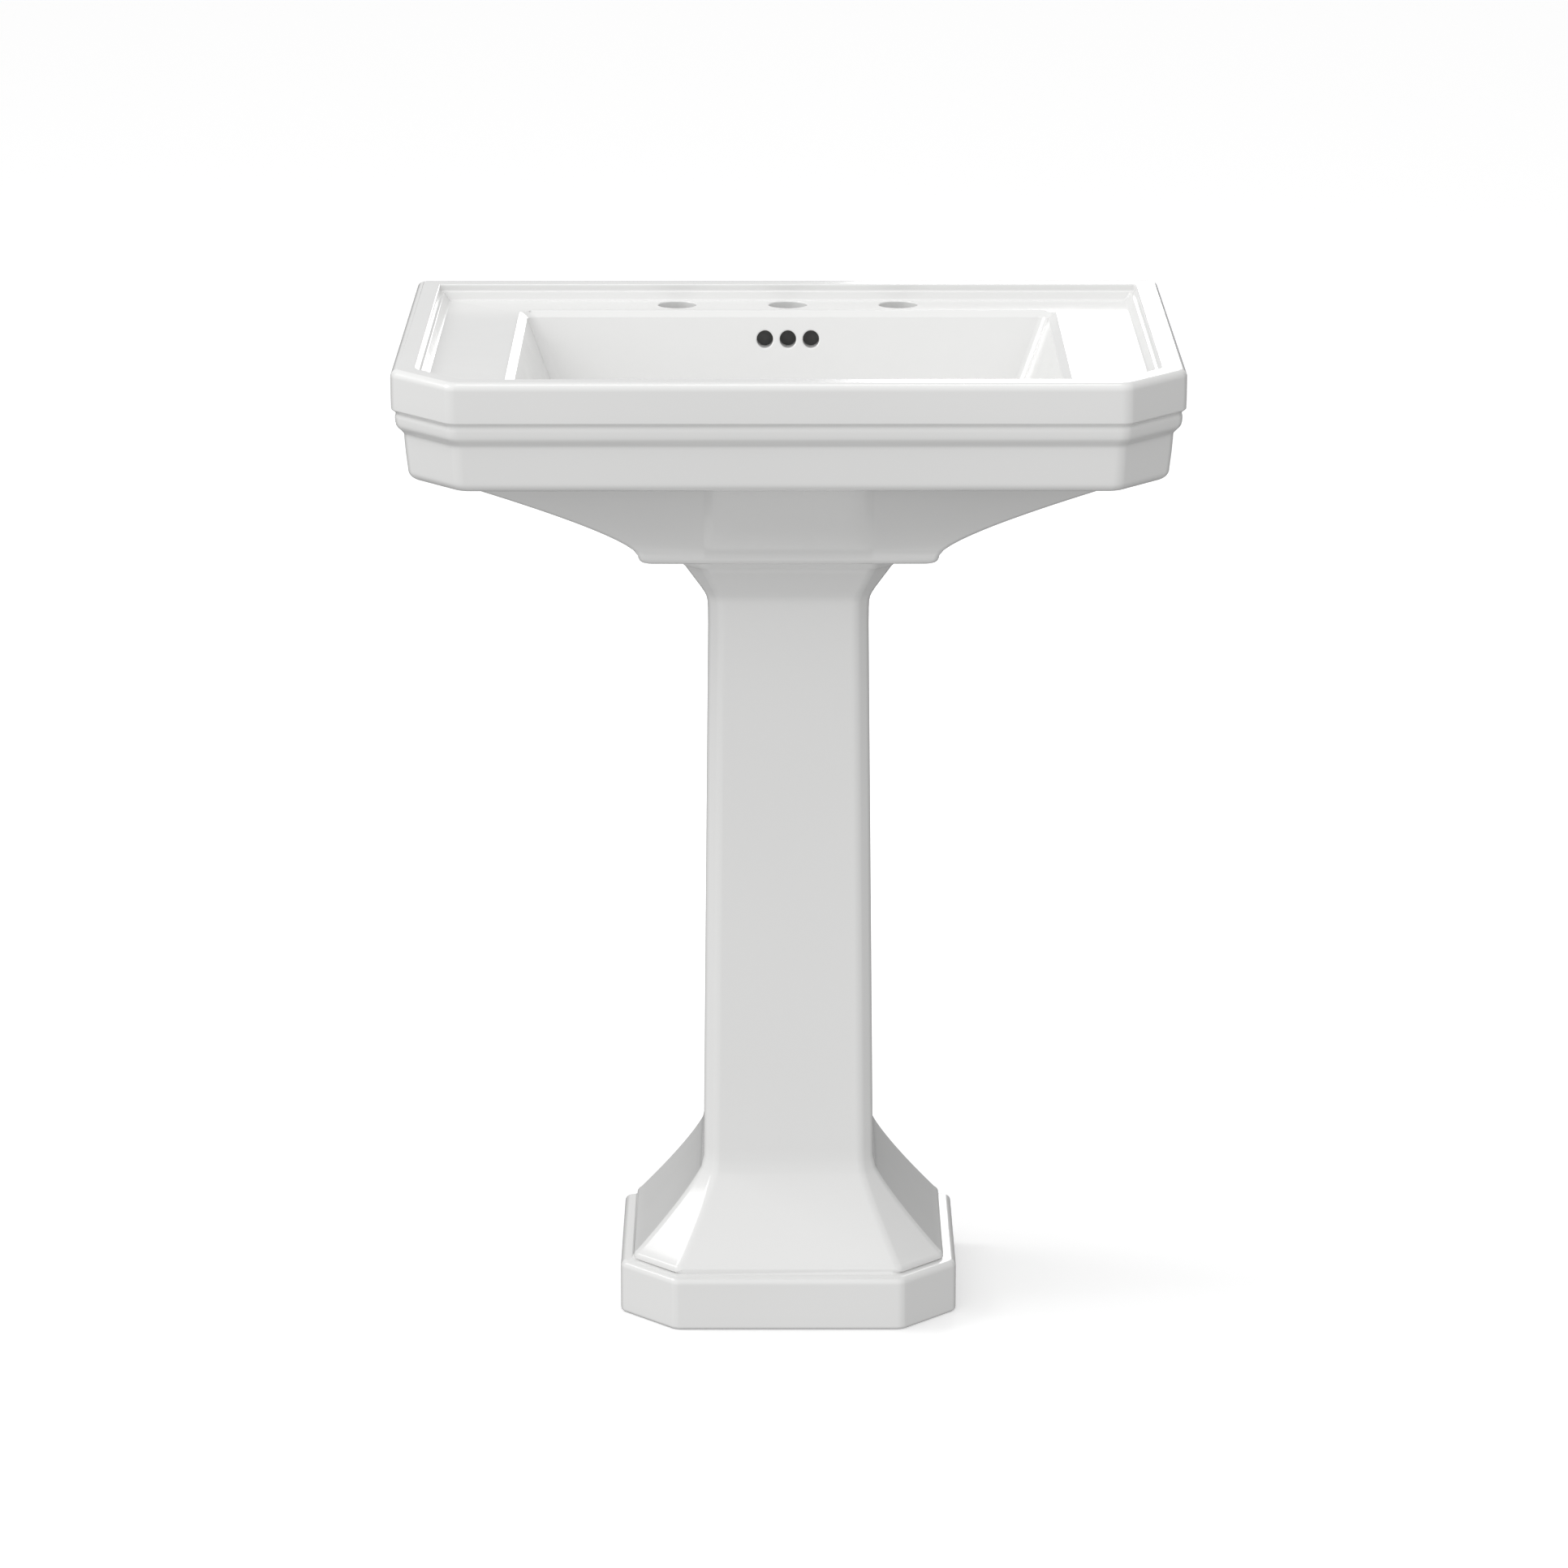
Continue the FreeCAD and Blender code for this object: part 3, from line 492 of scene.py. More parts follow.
@dataclass
class Basin:
    """Ceramic basin: moulded edge, sunk deck, bowl, underside and foot.

    Places are in metres in the frame; ``front`` and ``wall`` are the Y of the basin's front
    edge and of its back, and depths are measured back from the front edge. The short
    profiles below list drops below the top, or below the deck, and insets in millimetres.
    """

    LOWER_BAND = ((75.0, 12.1), (62.0, 11.0), (60.0, 10.9))
    UPPER_BAND = ((46.5, 3.6), (43.0, 3.3), (41.2, 3.4), (39.8, 3.9), (39.0, 4.0))
    DECK_COVE = ((0.3, 1.3), (0.6, 2.7), (0.82, 3.9), (0.93, 4.7), (0.985, 5.3), (1.0, 6.0))
    BOWL_LIP = (
        (0.0, 0.0), (0.4, 0.03), (0.8, 0.13), (1.2, 0.35), (1.6, 0.62), (4.4, 2.65), (4.8, 3.0),
        (5.15, 3.4), (5.5, 4.0),
    )

    half_width: float
    front: float
    wall: float
    top: float
    foot: float
    clip_x: float = 53 * MM
    clip_y: float = 61 * MM
    rim_round: float = 7 * MM
    rim_width: float = 22 * MM
    deck_drop: float = 14 * MM
    deck_thickness: float = 13 * MM
    apron_bottom: float = 791 * MM
    apron_inset: float = 13.7 * MM
    apron_round: float = 9 * MM
    apron_wall: float = 14 * MM
    corner_width: float = 6.0 * MM
    back_corner_width: float = 1.5 * MM
    underside_corner_width: float = 5 * MM
    rim_back_round: float = 3.5 * MM
    lip_round: float = 2.2 * MM
    ledge_drop: float = 6.6 * MM
    ledge_round: float = 1.2 * MM
    ledge_run: float = 2.9 * MM
    bowl_half: float = 236.5 * MM
    bowl_front: float = 52 * MM
    bowl_back: float = 391 * MM
    bowl_floor: float = 752 * MM
    side_slope: float = 0.41
    end_slope: float = 0.46
    bowl_edge: float = 5.5 * MM
    bowl_corner: float = 8 * MM
    floor_round: float = 22 * MM
    recess_radius: float = 34 * MM
    recess_floor: float = 741.5 * MM
    outlet_radius: float = 22.4 * MM
    drain_depth: float = 225 * MM
    facet_half: float = 70 * MM
    foot_half: float = 132 * MM
    foot_front: float = 112 * MM
    foot_back: float = 338 * MM
    foot_top: float = 712 * MM
    foot_bevel: float = 6.5 * MM
    sweep_half: float = 320 * MM
    sweep_front: float = 28 * MM
    sweep_back: float = 402 * MM
    sweep_power: float = 1.37
    sweep_front_power: float = 1.2
    sweep_recess: float = 0.25
    faucet_pitch: float = 101.6 * MM
    faucet_depth: float = 437.5 * MM
    faucet_radius: float = 17.5 * MM
    faucet_round: float = 1.3 * MM
    overflow_round: float = 1.6 * MM
    overflow_wall: float = 11 * MM
    channel_depth: float = 7 * MM
    overflow_pitch: float = 21 * MM
    overflow_radius: float = 7.4 * MM
    overflow_z: float = 853 * MM
    bolt_pitch: float = 280 * MM
    bolt_radius: float = 6.5 * MM
    bolt_z: float = 832 * MM
    pocket_half: float = 290 * MM
    pocket_front: float = 412 * MM
    hole_points: int = 40
    bm: BMesh = field(init=False, repr=False)

    def y(self, depth: float) -> float:
        """Y of a place that is this far behind the front edge."""
        return self.front + depth

    @property
    def deck(self) -> float:
        """Height of the sunk deck."""
        return self.top - self.deck_drop

    # outlines

    def edge_outline(self, z: float, inset: float, back_inset: float = 0.0) -> list[Vector]:
        """Clipped rectangle of the basin at one height, moved in by inset.

        Args:
            z: Height.
            inset: How far the front, sides and clipped corners move in.
            back_inset: How far the back moves in.

        Returns:
            Six corners, from the right back corner round the front to the left one.
        """
        length = math.hypot(self.clip_x, self.clip_y)
        normal_x, normal_y = self.clip_y / length, -self.clip_x / length
        reach = normal_x * self.half_width + normal_y * (self.front + self.clip_y) - inset
        front_y, side_x = self.front + inset, self.half_width - inset
        right = [
            (side_x, self.wall - back_inset),
            (side_x, (reach - normal_x * side_x) / normal_y),
            ((reach - normal_y * front_y) / normal_x, front_y),
        ]
        left = [(-x, y) for x, y in reversed(right)]
        return [Vector((x, y, z)) for x, y in right + left]

    def edge_profile(self) -> list[tuple[float, float, float]]:
        """Moulded edge from the underside over the rim down to the deck.

        Returns:
            Height, inset and back inset of each level.
        """
        profile = [(self.apron_bottom, self.apron_inset + self.apron_round, 0.0)]
        centre = self.apron_bottom + self.apron_round
        for angle in arc_steps(8, 0, 90):
            inset = self.apron_inset + self.apron_round * (1 - math.sin(angle))
            profile.append((centre - self.apron_round * math.cos(angle), inset, 0.0))
        profile += [(self.top - drop * MM, inset * MM, 0.0) for drop, inset in self.LOWER_BAND]
        profile += self.wave(8, (59.0, 48.0), (11.1, 4.0))
        profile += [(self.top - drop * MM, inset * MM, 0.0) for drop, inset in self.UPPER_BAND]
        profile += self.wave(6, (38.6, 34.4), (3.9, 0.2))
        profile += [(self.top - 24 * MM, 0.0, 0.0), (self.top - self.rim_round, 0.0, 0.0)]
        for angle in arc_steps(16, 0, 90):
            turn = 1 - math.cos(angle)
            drop = self.rim_round * (1 - math.sin(angle))
            profile.append((self.top - drop, self.rim_round * turn, self.rim_back_round * turn))
        return profile + self.recess_profile()

    def wave(
        self, steps: int, drops: tuple[float, float], insets: tuple[float, float]
    ) -> list[tuple[float, float, float]]:
        """Soft S-shaped step of the moulded edge.

        Args:
            steps: Number of levels.
            drops: Drop below the top where the step starts and ends, in millimetres.
            insets: Inset there, in millimetres.

        Returns:
            Height, inset and back inset of each level after the start.
        """
        levels = []
        for step in range(1, steps + 1):
            share = step / steps
            left = (1 + math.cos(math.pi * share)) / 2
            levels.append((self.top - mix(*drops, share) * MM, mix(insets[1], insets[0], left) * MM, 0.0))
        return levels

    def recess_profile(self) -> list[tuple[float, float, float]]:
        """Inner side of the rim: a rounded lip, a narrow ledge and a cove down to the deck.

        Returns:
            Height, inset and back inset of each level.
        """
        profile = []
        lip = self.rim_width - self.lip_round
        for angle in arc_steps(6, 0, 84):
            drop = self.lip_round * (1 - math.cos(angle))
            profile.append(self.recess_step(drop, lip + self.lip_round * math.sin(angle)))
        ledge, bend = self.ledge_drop, self.ledge_round
        profile.append(self.recess_step(ledge - bend, self.rim_width + 0.4 * MM))
        for angle in arc_steps(3, 0, 80):
            run = 0.5 * MM + bend * (1 - math.cos(angle))
            profile.append(self.recess_step(ledge - bend * (1 - math.sin(angle)), self.rim_width + run))
        edge = self.rim_width + self.ledge_run
        for angle in arc_steps(4, 0, 70):
            cove_top = ledge + bend * (1 - math.cos(angle))
            cove_start = edge + bend * math.sin(angle)
            profile.append(self.recess_step(cove_top, cove_start))
        for share, run in self.DECK_COVE:
            drop = mix(cove_top, self.deck_drop, share)
            profile.append(self.recess_step(drop, cove_start + run * MM))
        return profile

    def recess_step(self, drop: float, inset: float) -> tuple[float, float, float]:
        """One level of the recess, which is narrower and steeper along the back.

        Args:
            drop: How far below the top it lies.
            inset: Inset of the front and sides.

        Returns:
            Height, inset and back inset.
        """
        back = self.rim_width - self.rim_back_round + (inset - self.rim_width) * 0.7
        return self.top - drop, inset, back

    def bowl_level(self, z: float, inward: float) -> list[Vector]:
        """Rectangle of the bowl moved in from its edge on the deck.

        Args:
            z: Height.
            inward: How far the sides have moved in; the ends move a little more.

        Returns:
            Four corners.
        """
        end_inward = inward * (1 + (self.end_slope / self.side_slope - 1) * 0.9)
        half = self.bowl_half + self.bowl_edge - inward
        y_low = self.y(self.bowl_front) - self.bowl_edge + end_inward
        y_high = self.y(self.bowl_back) + self.bowl_edge - end_inward
        corners = ((half, y_low), (half, y_high), (-half, y_high), (-half, y_low))
        return [Vector((x, y, z)) for x, y in corners]

    def bowl_levels(self) -> list[list[Vector]]:
        """Bowl from its edge on the deck to its floor.

        Returns:
            Outlines in order, the last one on the floor.
        """
        levels = [self.bowl_level(self.deck - drop * MM, inward * MM) for inward, drop in self.BOWL_LIP]
        tilt = 90 - math.degrees(math.atan(self.side_slope))
        steep = math.radians(tilt)
        last_inward, last_drop = self.BOWL_LIP[-1]
        round_top = self.bowl_floor + self.floor_round * (1 - math.cos(steep))
        inward = last_inward * MM + (self.deck - last_drop * MM - round_top) * self.side_slope
        levels.append(self.bowl_level(round_top, inward))
        for angle in arc_steps(8, tilt, 3):
            run = self.floor_round * (math.sin(steep) - math.sin(angle))
            fall = self.floor_round * (math.cos(angle) - math.cos(steep))
            levels.append(self.bowl_level(round_top - fall, inward + run))
        return levels

    def sweep_level(self, z: float, inset: float = 0.0) -> list[Vector]:
        """Level of the underside between the apron and the foot.

        Args:
            z: Height.
            inset: How far all sides move in.

        Returns:
            Six corners, from the right back corner round the front to the left one.
        """
        rise = max(z - self.foot_top, 0.0) / (self.apron_bottom - self.foot_top)
        half = mix(self.foot_half, self.sweep_half, rise ** self.sweep_power) - inset
        front = mix(self.foot_front, self.sweep_front, rise ** self.sweep_front_power) + inset
        back = mix(self.foot_back, self.sweep_back, rise) - inset
        recess = self.sweep_recess * (half - self.facet_half) * math.sqrt(rise) + 0.5 * MM
        right = [(half, back), (half, front + recess), (self.facet_half, front)]
        left = [(-x, y) for x, y in reversed(right)]
        return [Vector((x, self.y(y), z)) for x, y in right + left]

    # walls

    def add_edge(self) -> None:
        """Builds the moulded edge, the rim and the recess down to the deck."""
        levels = [self.edge_outline(*step) for step in self.edge_profile()]
        rings = loft(self.bm, levels)
        front_rails = [edge for corner in (1, 2, 3, 4) for edge in rail(rings, corner)]
        back_rails = [edge for corner in (0, 5) for edge in rail(rings, corner)]
        round_edges(self.bm, front_rails, self.corner_width, 7)
        round_edges(self.bm, [e for e in back_rails if e.is_valid], self.back_corner_width, 3)

    def add_bowl(self) -> None:
        """Builds the bowl with its rounded corners and floor, and cuts the overflow holes."""
        rings = loft(self.bm, self.bowl_levels())
        rails = [edge for corner in range(4) for edge in rail(rings, corner)]
        round_edges(self.bm, rails, self.bowl_corner, 8)
        drain = Vector((0.0, self.y(self.drain_depth), 0.0))
        floor_z = min(v.co.z for v in self.bm.verts)
        loop = open_edges(self.bm, lambda co: abs(co.z - floor_z) < NEAR)
        count = len(loop)
        steps = [(self.recess_radius + 3 * MM, floor_z - 6.6 * MM)]
        for angle in arc_steps(3, 0, 80):
            steps.append((
                self.recess_radius + 1.5 * MM * (1 - math.sin(angle)),
                steps[0][1] - 1.5 * MM * (1 - math.cos(angle)),
            ))
        steps += [
            (self.recess_radius, self.recess_floor),
            (self.outlet_radius + 1 * MM, self.recess_floor),
            (self.outlet_radius, self.recess_floor - 1 * MM),
            (self.outlet_radius, self.foot),
        ]
        levels = [
            circle_points(drain + UP * z, radius, count, RIGHT, BACK) for radius, z in steps
        ]
        rings = loft(self.bm, levels)
        bmesh.ops.bridge_loops(self.bm, edges=loop + ring_edges(rings[0]))

    def add_overflow(self) -> None:
        """Cuts three round holes through the bowl's back wall into the overflow channel."""
        wall = max(
            (face for face in self.bm.faces if face.calc_center_median().y > 0.0),
            key=lambda face: abs(face.normal.y) * face.calc_area(),
        )
        normal = wall.normal.copy()
        origin = wall.calc_center_median()
        slope = Vector((0.0, normal.z, -normal.y)).normalized()
        if slope.z < 0:
            slope.negate()
        border = list(wall.edges)
        bmesh.ops.delete(self.bm, geom=[wall], context="FACES_ONLY")
        up = slope / slope.z
        lip = self.overflow_round
        rims = []
        for number in (-1, 0, 1):
            along = (self.overflow_z - origin.z) / slope.z
            centre = origin + slope * along + RIGHT * (number * self.overflow_pitch)
            levels = [circle_points(centre, self.overflow_radius + lip, self.hole_points, RIGHT, up)]
            for angle in arc_steps(4, 0, 90):
                radius = self.overflow_radius + lip * (1 - math.sin(angle))
                deeper = centre + BACK * (lip * (1 - math.cos(angle)))
                levels.append(circle_points(deeper, radius, self.hole_points, RIGHT, up))
            back = centre + BACK * self.overflow_wall
            levels.append(circle_points(back, self.overflow_radius, self.hole_points, RIGHT, UP))
            rings = loft(self.bm, levels)
            rims += ring_edges(rings[0])
            self.add_channel(rings[-1], back)
        fill_flat(self.bm, border + rims, normal)

    def add_channel(self, ring: list[BMVert], centre: Vector) -> None:
        """Ends one overflow hole in a piece of channel behind the wall, coloured dark grey as painted
        shade.

        Args:
            ring: The hole's last ring.
            centre: Middle of that ring.
        """
        before = set(self.bm.faces)
        wide = self.overflow_pitch * 0.48
        ring = extrude_ring(self.bm, ring, circle_points(centre, wide, len(ring), RIGHT, UP))
        far = centre + BACK * self.channel_depth
        ring = extrude_ring(self.bm, ring, circle_points(far, wide, len(ring), RIGHT, UP))
        bmesh.ops.contextual_create(self.bm, geom=ring_edges(ring))
        for face in set(self.bm.faces) - before:
            # slot 1 is the dark grey material, painted shade inside the channel
            face.material_index = 1

    def add_faucet_holes(self) -> None:
        """Builds the three faucet holes from the deck to the pocket's ceiling."""
        ceiling = self.deck - self.deck_thickness
        for number in (-1, 0, 1):
            centre = Vector((number * self.faucet_pitch, self.y(self.faucet_depth), self.deck))
            wide = self.faucet_radius + self.faucet_round
            levels = [circle_points(centre, wide, self.hole_points, RIGHT, BACK)]
            for angle in arc_steps(5, 0, 90):
                radius = self.faucet_radius + self.faucet_round * (1 - math.sin(angle))
                deeper = centre - UP * (self.faucet_round * (1 - math.cos(angle)))
                levels.append(circle_points(deeper, radius, self.hole_points, RIGHT, BACK))
            bottom = centre + UP * (ceiling - self.deck)
            levels.append(circle_points(bottom, self.faucet_radius, self.hole_points, RIGHT, BACK))
            loft(self.bm, levels)

    def add_pocket(self) -> None:
        """Builds the pocket under the rear deck that gives access to faucet and wall bolts."""
        half = self.pocket_half
        y_low, y_high = self.y(self.pocket_front), self.wall - self.apron_wall
        corners = ((half, y_low), (half, y_high), (-half, y_high), (-half, y_low))
        levels = [
            [Vector((x, y, z)) for x, y in corners]
            for z in (self.apron_bottom, self.deck - self.deck_thickness)
        ]
        loft(self.bm, levels)

    def add_bolt_holes(self) -> None:
        """Cuts the two wall bolt holes from the back face into the pocket."""
        inner_y = self.wall - self.apron_wall
        outer = [f for f in self.bm.faces if all(abs(v.co.y - self.wall) < NEAR for v in f.verts)]
        inner = [f for f in self.bm.faces if all(abs(v.co.y - inner_y) < NEAR for v in f.verts)]
        holes_outer, holes_inner = [], []
        for side in (-1, 1):
            centre = Vector((side * self.bolt_pitch / 2, self.wall, self.bolt_z))
            levels = [
                circle_points(centre, self.bolt_radius, 24, RIGHT, UP),
                circle_points(centre - BACK * self.apron_wall, self.bolt_radius, 24, RIGHT, UP),
            ]
            rings = loft(self.bm, levels)
            holes_outer += ring_edges(rings[0])
            holes_inner += ring_edges(rings[1])
        for faces, holes, normal in ((outer, holes_outer, BACK), (inner, holes_inner, -BACK)):
            shared = [e for f in faces for e in f.edges]
            border = [e for e in set(shared) if shared.count(e) == 1]
            inside = [e for e in set(shared) if shared.count(e) > 1]
            bmesh.ops.delete(self.bm, geom=faces, context="FACES_ONLY")
            bmesh.ops.delete(self.bm, geom=inside, context="EDGES")
            fill_flat(self.bm, [e for e in border if e.is_valid] + holes, normal)

    def add_underside(self) -> None:
        """Builds the swept underside and the foot with its bevelled band."""
        steps = 16
        heights = [mix(self.apron_bottom, self.foot_top, step / steps) for step in range(steps + 1)]
        levels = [self.sweep_level(z) for z in heights]
        for angle in arc_steps(4, 0, 80):
            inset = self.foot_bevel * (1 - math.cos(angle))
            z = self.foot_top - (self.foot_top - self.foot) * math.sin(angle)
            levels.append(self.sweep_level(z, inset))
        levels.append(self.sweep_level(self.foot, self.foot_bevel))
        rings = loft(self.bm, levels)
        for corners in ((2, 3), (0, 1, 4, 5)):
            rails = [edge for corner in corners for edge in rail(rings, corner)]
            round_edges(self.bm, rails, self.underside_corner_width, 4)

    def close_flats(self) -> None:
        """Closes the flat areas: the deck, the pocket's ceiling, the underside and the foot."""
        for z, normal in (
            (self.deck, UP),
            (self.deck - self.deck_thickness, -UP),
            (self.apron_bottom, -UP),
            (self.foot, -UP),
        ):
            loops = open_edges(self.bm, lambda co, level=z: abs(co.z - level) < NEAR)
            fill_flat(self.bm, loops, normal)

    def build(self, glaze: bpy.types.Material, shade_clay: bpy.types.Material) -> bpy.types.Object:
        """Builds and dresses the basin.

        Args:
            glaze: Material of the whole outside and the bowl.
            shade_clay: Material of the overflow channel, dark grey as painted shade.

        Returns:
            The finished piece.
        """
        self.bm = bmesh.new()
        self.add_bowl()
        self.bm.normal_update()
        self.add_overflow()
        self.add_edge()
        self.add_underside()
        self.add_faucet_holes()
        self.add_pocket()
        self.add_bolt_holes()
        self.close_flats()
        piece = finish_piece("basin_shell", self.bm, [glaze, shade_clay])
        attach(piece, Body.SINK.value)
        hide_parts("basin")
        return piece


# ---- pedestal -------------------------------------------------------------------------


@dataclass
class Pedestal:
    """Hollow ceramic pedestal: plinth, flare, tapering column and capital, open at the back.

    Depths are measured back from the basin's front edge, like the basin's own. A level is a
    height, a half width, a front depth and a corner clip.
    """

    BEAD = ((51.0, -0.15), (53.0, 0.1), (54.8, 0.9), (56.2, 2.2))

    front: float
    top: float
    back_depth: float = 328 * MM
    wall: float = 12 * MM
    plinth_half: float = 152.4 * MM
    plinth_front: float = 92.5 * MM
    plinth_clip: float = 49.5 * MM
    plinth_height: float = 50 * MM
    ledge: float = 11.5 * MM
    flare_bottom: float = 57 * MM
    flare_top: float = 131 * MM
    low_half: float = 77 * MM
    high_half: float = 71.6 * MM
    low_front: float = 168.5 * MM
    high_front: float = 173 * MM
    column_clip: float = 11 * MM
    capital_bottom: float = 656 * MM
    capital_band: float = 690 * MM
    capital_half: float = 95.6 * MM
    capital_front: float = 148 * MM
    capital_clip: float = 19 * MM
    opening_half: float = 58 * MM
    opening_top: float = 668 * MM
    floor_web: float = 14 * MM
    screw_radius: float = 5.5 * MM
    screw_depth: float = 250 * MM
    corner_width: float = 4.4 * MM
    back_corner_width: float = 2.5 * MM
    foot_round: float = 3.5 * MM
    plinth_round: float = 6 * MM
    flare_power: float = 1.22
    flare_start: float = 3.6 * MM
    flare_start_clip: float = 38.8 * MM
    ledge_clip: float = 40.5 * MM
    bm: BMesh = field(init=False, repr=False)

    def outline(self, level: Level, inset: float = 0.0) -> list[Vector]:
        """Eight corners of one level, with two on the back edge beside the opening.

        Args:
            level: Height, half width, front depth and corner clip.
            inset: How far all sides move in.

        Returns:
            Corners from the opening's right edge round the front to its left edge.
        """
        z, half, front, clip = level
        corner = clip - inset * (2 - math.sqrt(2))
        half, front = half - inset, front + inset
        back = self.back_depth - inset
        right = [(self.opening_half, back), (half, back), (half, front + corner), (half - corner, front)]
        left = [(-x, y) for x, y in reversed(right)]
        return [Vector((x, self.front + y, z)) for x, y in right + left]

    def levels(self) -> list[Level]:
        """All levels of the outer skin.

        Returns:
            Levels from the floor to the top.
        """
        return self.plinth_levels() + self.flare_levels() + self.column_levels()

    def plinth_levels(self) -> list[Level]:
        """Plinth with its rounded foot and top, and the ledge and bead above it.

        Returns:
            Levels from the floor up to the flare.
        """
        steps = []
        for angle in arc_steps(4, -30, 90):
            steps.append((self.foot_round * (1 - math.cos(angle)), self.foot_round * (1 - math.sin(angle))))
        round_start = self.plinth_height - 1 * MM - self.plinth_round
        steps.append((round_start, 0.0))
        for angle in arc_steps(6, 0, 84):
            inset = self.plinth_round * (1 - math.cos(angle))
            steps.append((round_start + self.plinth_round * math.sin(angle), inset))
        steps.append((self.plinth_height - 0.4 * MM, self.ledge - 1.5 * MM))
        steps.append((self.plinth_height, self.ledge))
        levels = [
            (z, self.plinth_half - inset, self.plinth_front + inset, self.plinth_clip - 0.6 * inset)
            for z, inset in steps
        ]
        half, front = self.plinth_half - self.ledge, self.plinth_front + self.ledge
        for height, inset in self.BEAD:
            run = inset * MM
            levels.append((height * MM, half - run, front + run, self.ledge_clip - 0.5 * run))
        return levels

    def flare_levels(self) -> list[Level]:
        """Hollow flare that narrows from the plinth to the column.

        Returns:
            Levels from the bead up to the straight column.
        """
        levels = []
        inset = self.ledge + self.flare_start
        steps = 16
        for step in range(steps):
            share = step / steps
            out = (1 - share) ** self.flare_power
            levels.append((
                mix(self.flare_bottom, self.flare_top, share),
                mix(self.low_half + 0.3 * MM, self.plinth_half - inset, out),
                mix(self.low_front, self.plinth_front + inset, out),
                mix(self.column_clip, self.flare_start_clip, out),
            ))
        levels.append((self.flare_top + 6 * MM, self.low_half + 0.1 * MM, self.low_front, self.column_clip))
        return levels

    def column_levels(self) -> list[Level]:
        """Tapering column and the capital that spreads out under the basin.

        Returns:
            Levels from the foot of the column to the top.
        """
        low, band = self.capital_bottom, self.capital_band
        levels = [
            (self.flare_top + 16 * MM, self.low_half, self.low_front, self.column_clip),
            (low - 22 * MM, self.high_half, self.high_front, self.column_clip),
        ]
        spread = (
            (low - 8 * MM, 0.004), (low - 1 * MM, 0.018), (low + 3 * MM, 0.05), (low + 6.5 * MM, 0.11),
            (self.opening_top, 0.24), (band - 5 * MM, 0.70), (band, 0.83), (band + 1.2 * MM, 0.88),
            (band + 3 * MM, 0.95), (band + 5.5 * MM, 0.99), (band + 8 * MM, 1.0),
            (self.top - 1 * MM, 1.0), (self.top, 0.96),
        )
        for z, share in spread:
            levels.append((
                z,
                mix(self.high_half, self.capital_half, share),
                mix(self.high_front, self.capital_front, share),
                mix(self.column_clip, self.capital_clip, share),
            ))
        return levels

    def build(self, glaze: bpy.types.Material) -> bpy.types.Object:
        """Builds and dresses the pedestal.

        Args:
            glaze: Material of the whole pedestal.

        Returns:
            The finished piece.
        """
        self.bm = bmesh.new()
        levels = self.levels()
        web_above = next(index for index, level in enumerate(levels) if level[0] > self.floor_web)
        levels.insert(web_above, (self.floor_web,) + levels[web_above][1:])
        outer = loft(self.bm, [self.outline(level) for level in levels])
        inner = loft(self.bm, [self.outline(level, self.wall) for level in levels[web_above:]])
        openings = [self.cut_opening(rings, skin) for rings, skin in ((outer, 0.0), (inner, self.wall))]
        bmesh.ops.bridge_loops(self.bm, edges=openings[0] + openings[1])
        for corners, width, segments in (
            ((2, 3, 4, 5), self.corner_width, 5), ((1, 6), self.back_corner_width, 3),
        ):
            rails = [edge for corner in corners for edge in rail(outer, corner)]
            round_edges(self.bm, rails, width, segments)
        self.add_floor_hole()
        for z, normal in (
            (self.top, UP),
            (self.floor_web, UP),
            (0.0, -UP),
        ):
            fill_flat(self.bm, open_edges(self.bm, lambda co, level=z: abs(co.z - level) < NEAR), normal)
        piece = finish_piece("pedestal_shell", self.bm, [glaze])
        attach(piece, Body.SINK.value)
        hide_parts("pedestal")
        return piece

    def cut_opening(self, rings: list[list[BMVert]], skin: float) -> list[BMEdge]:
        """Removes the back strip of one skin between the floor web and the bridge.

        Args:
            rings: The skin's rings from the bottom up.
            skin: The skin's inset.

        Returns:
            The edges round the new opening.
        """
        y = self.front + self.back_depth - skin
        strip = [
            face for face in self.bm.faces
            if all(abs(v.co.y - y) < NEAR and abs(v.co.x) < self.opening_half + NEAR for v in face.verts)
            and self.floor_web - NEAR < face.calc_center_median().z < self.opening_top
        ]
        edges = [edge for face in strip for edge in face.edges]
        border = [edge for edge in set(edges) if edges.count(edge) == 1]
        inside = [edge for edge in set(edges) if edges.count(edge) > 1]
        bmesh.ops.delete(self.bm, geom=strip, context="FACES_ONLY")
        bmesh.ops.delete(self.bm, geom=inside, context="EDGES")
        return [edge for edge in border if edge.is_valid]

    def add_floor_hole(self) -> None:
        """Builds the hole for the floor screw through the floor web."""
        centre = Vector((0.0, self.front + self.screw_depth, 0.0))
        ends = (centre, centre + UP * self.floor_web)
        loft(self.bm, [circle_points(end, self.screw_radius, 24, RIGHT, BACK) for end in ends])


# ---- fittings -------------------------------------------------------------------------


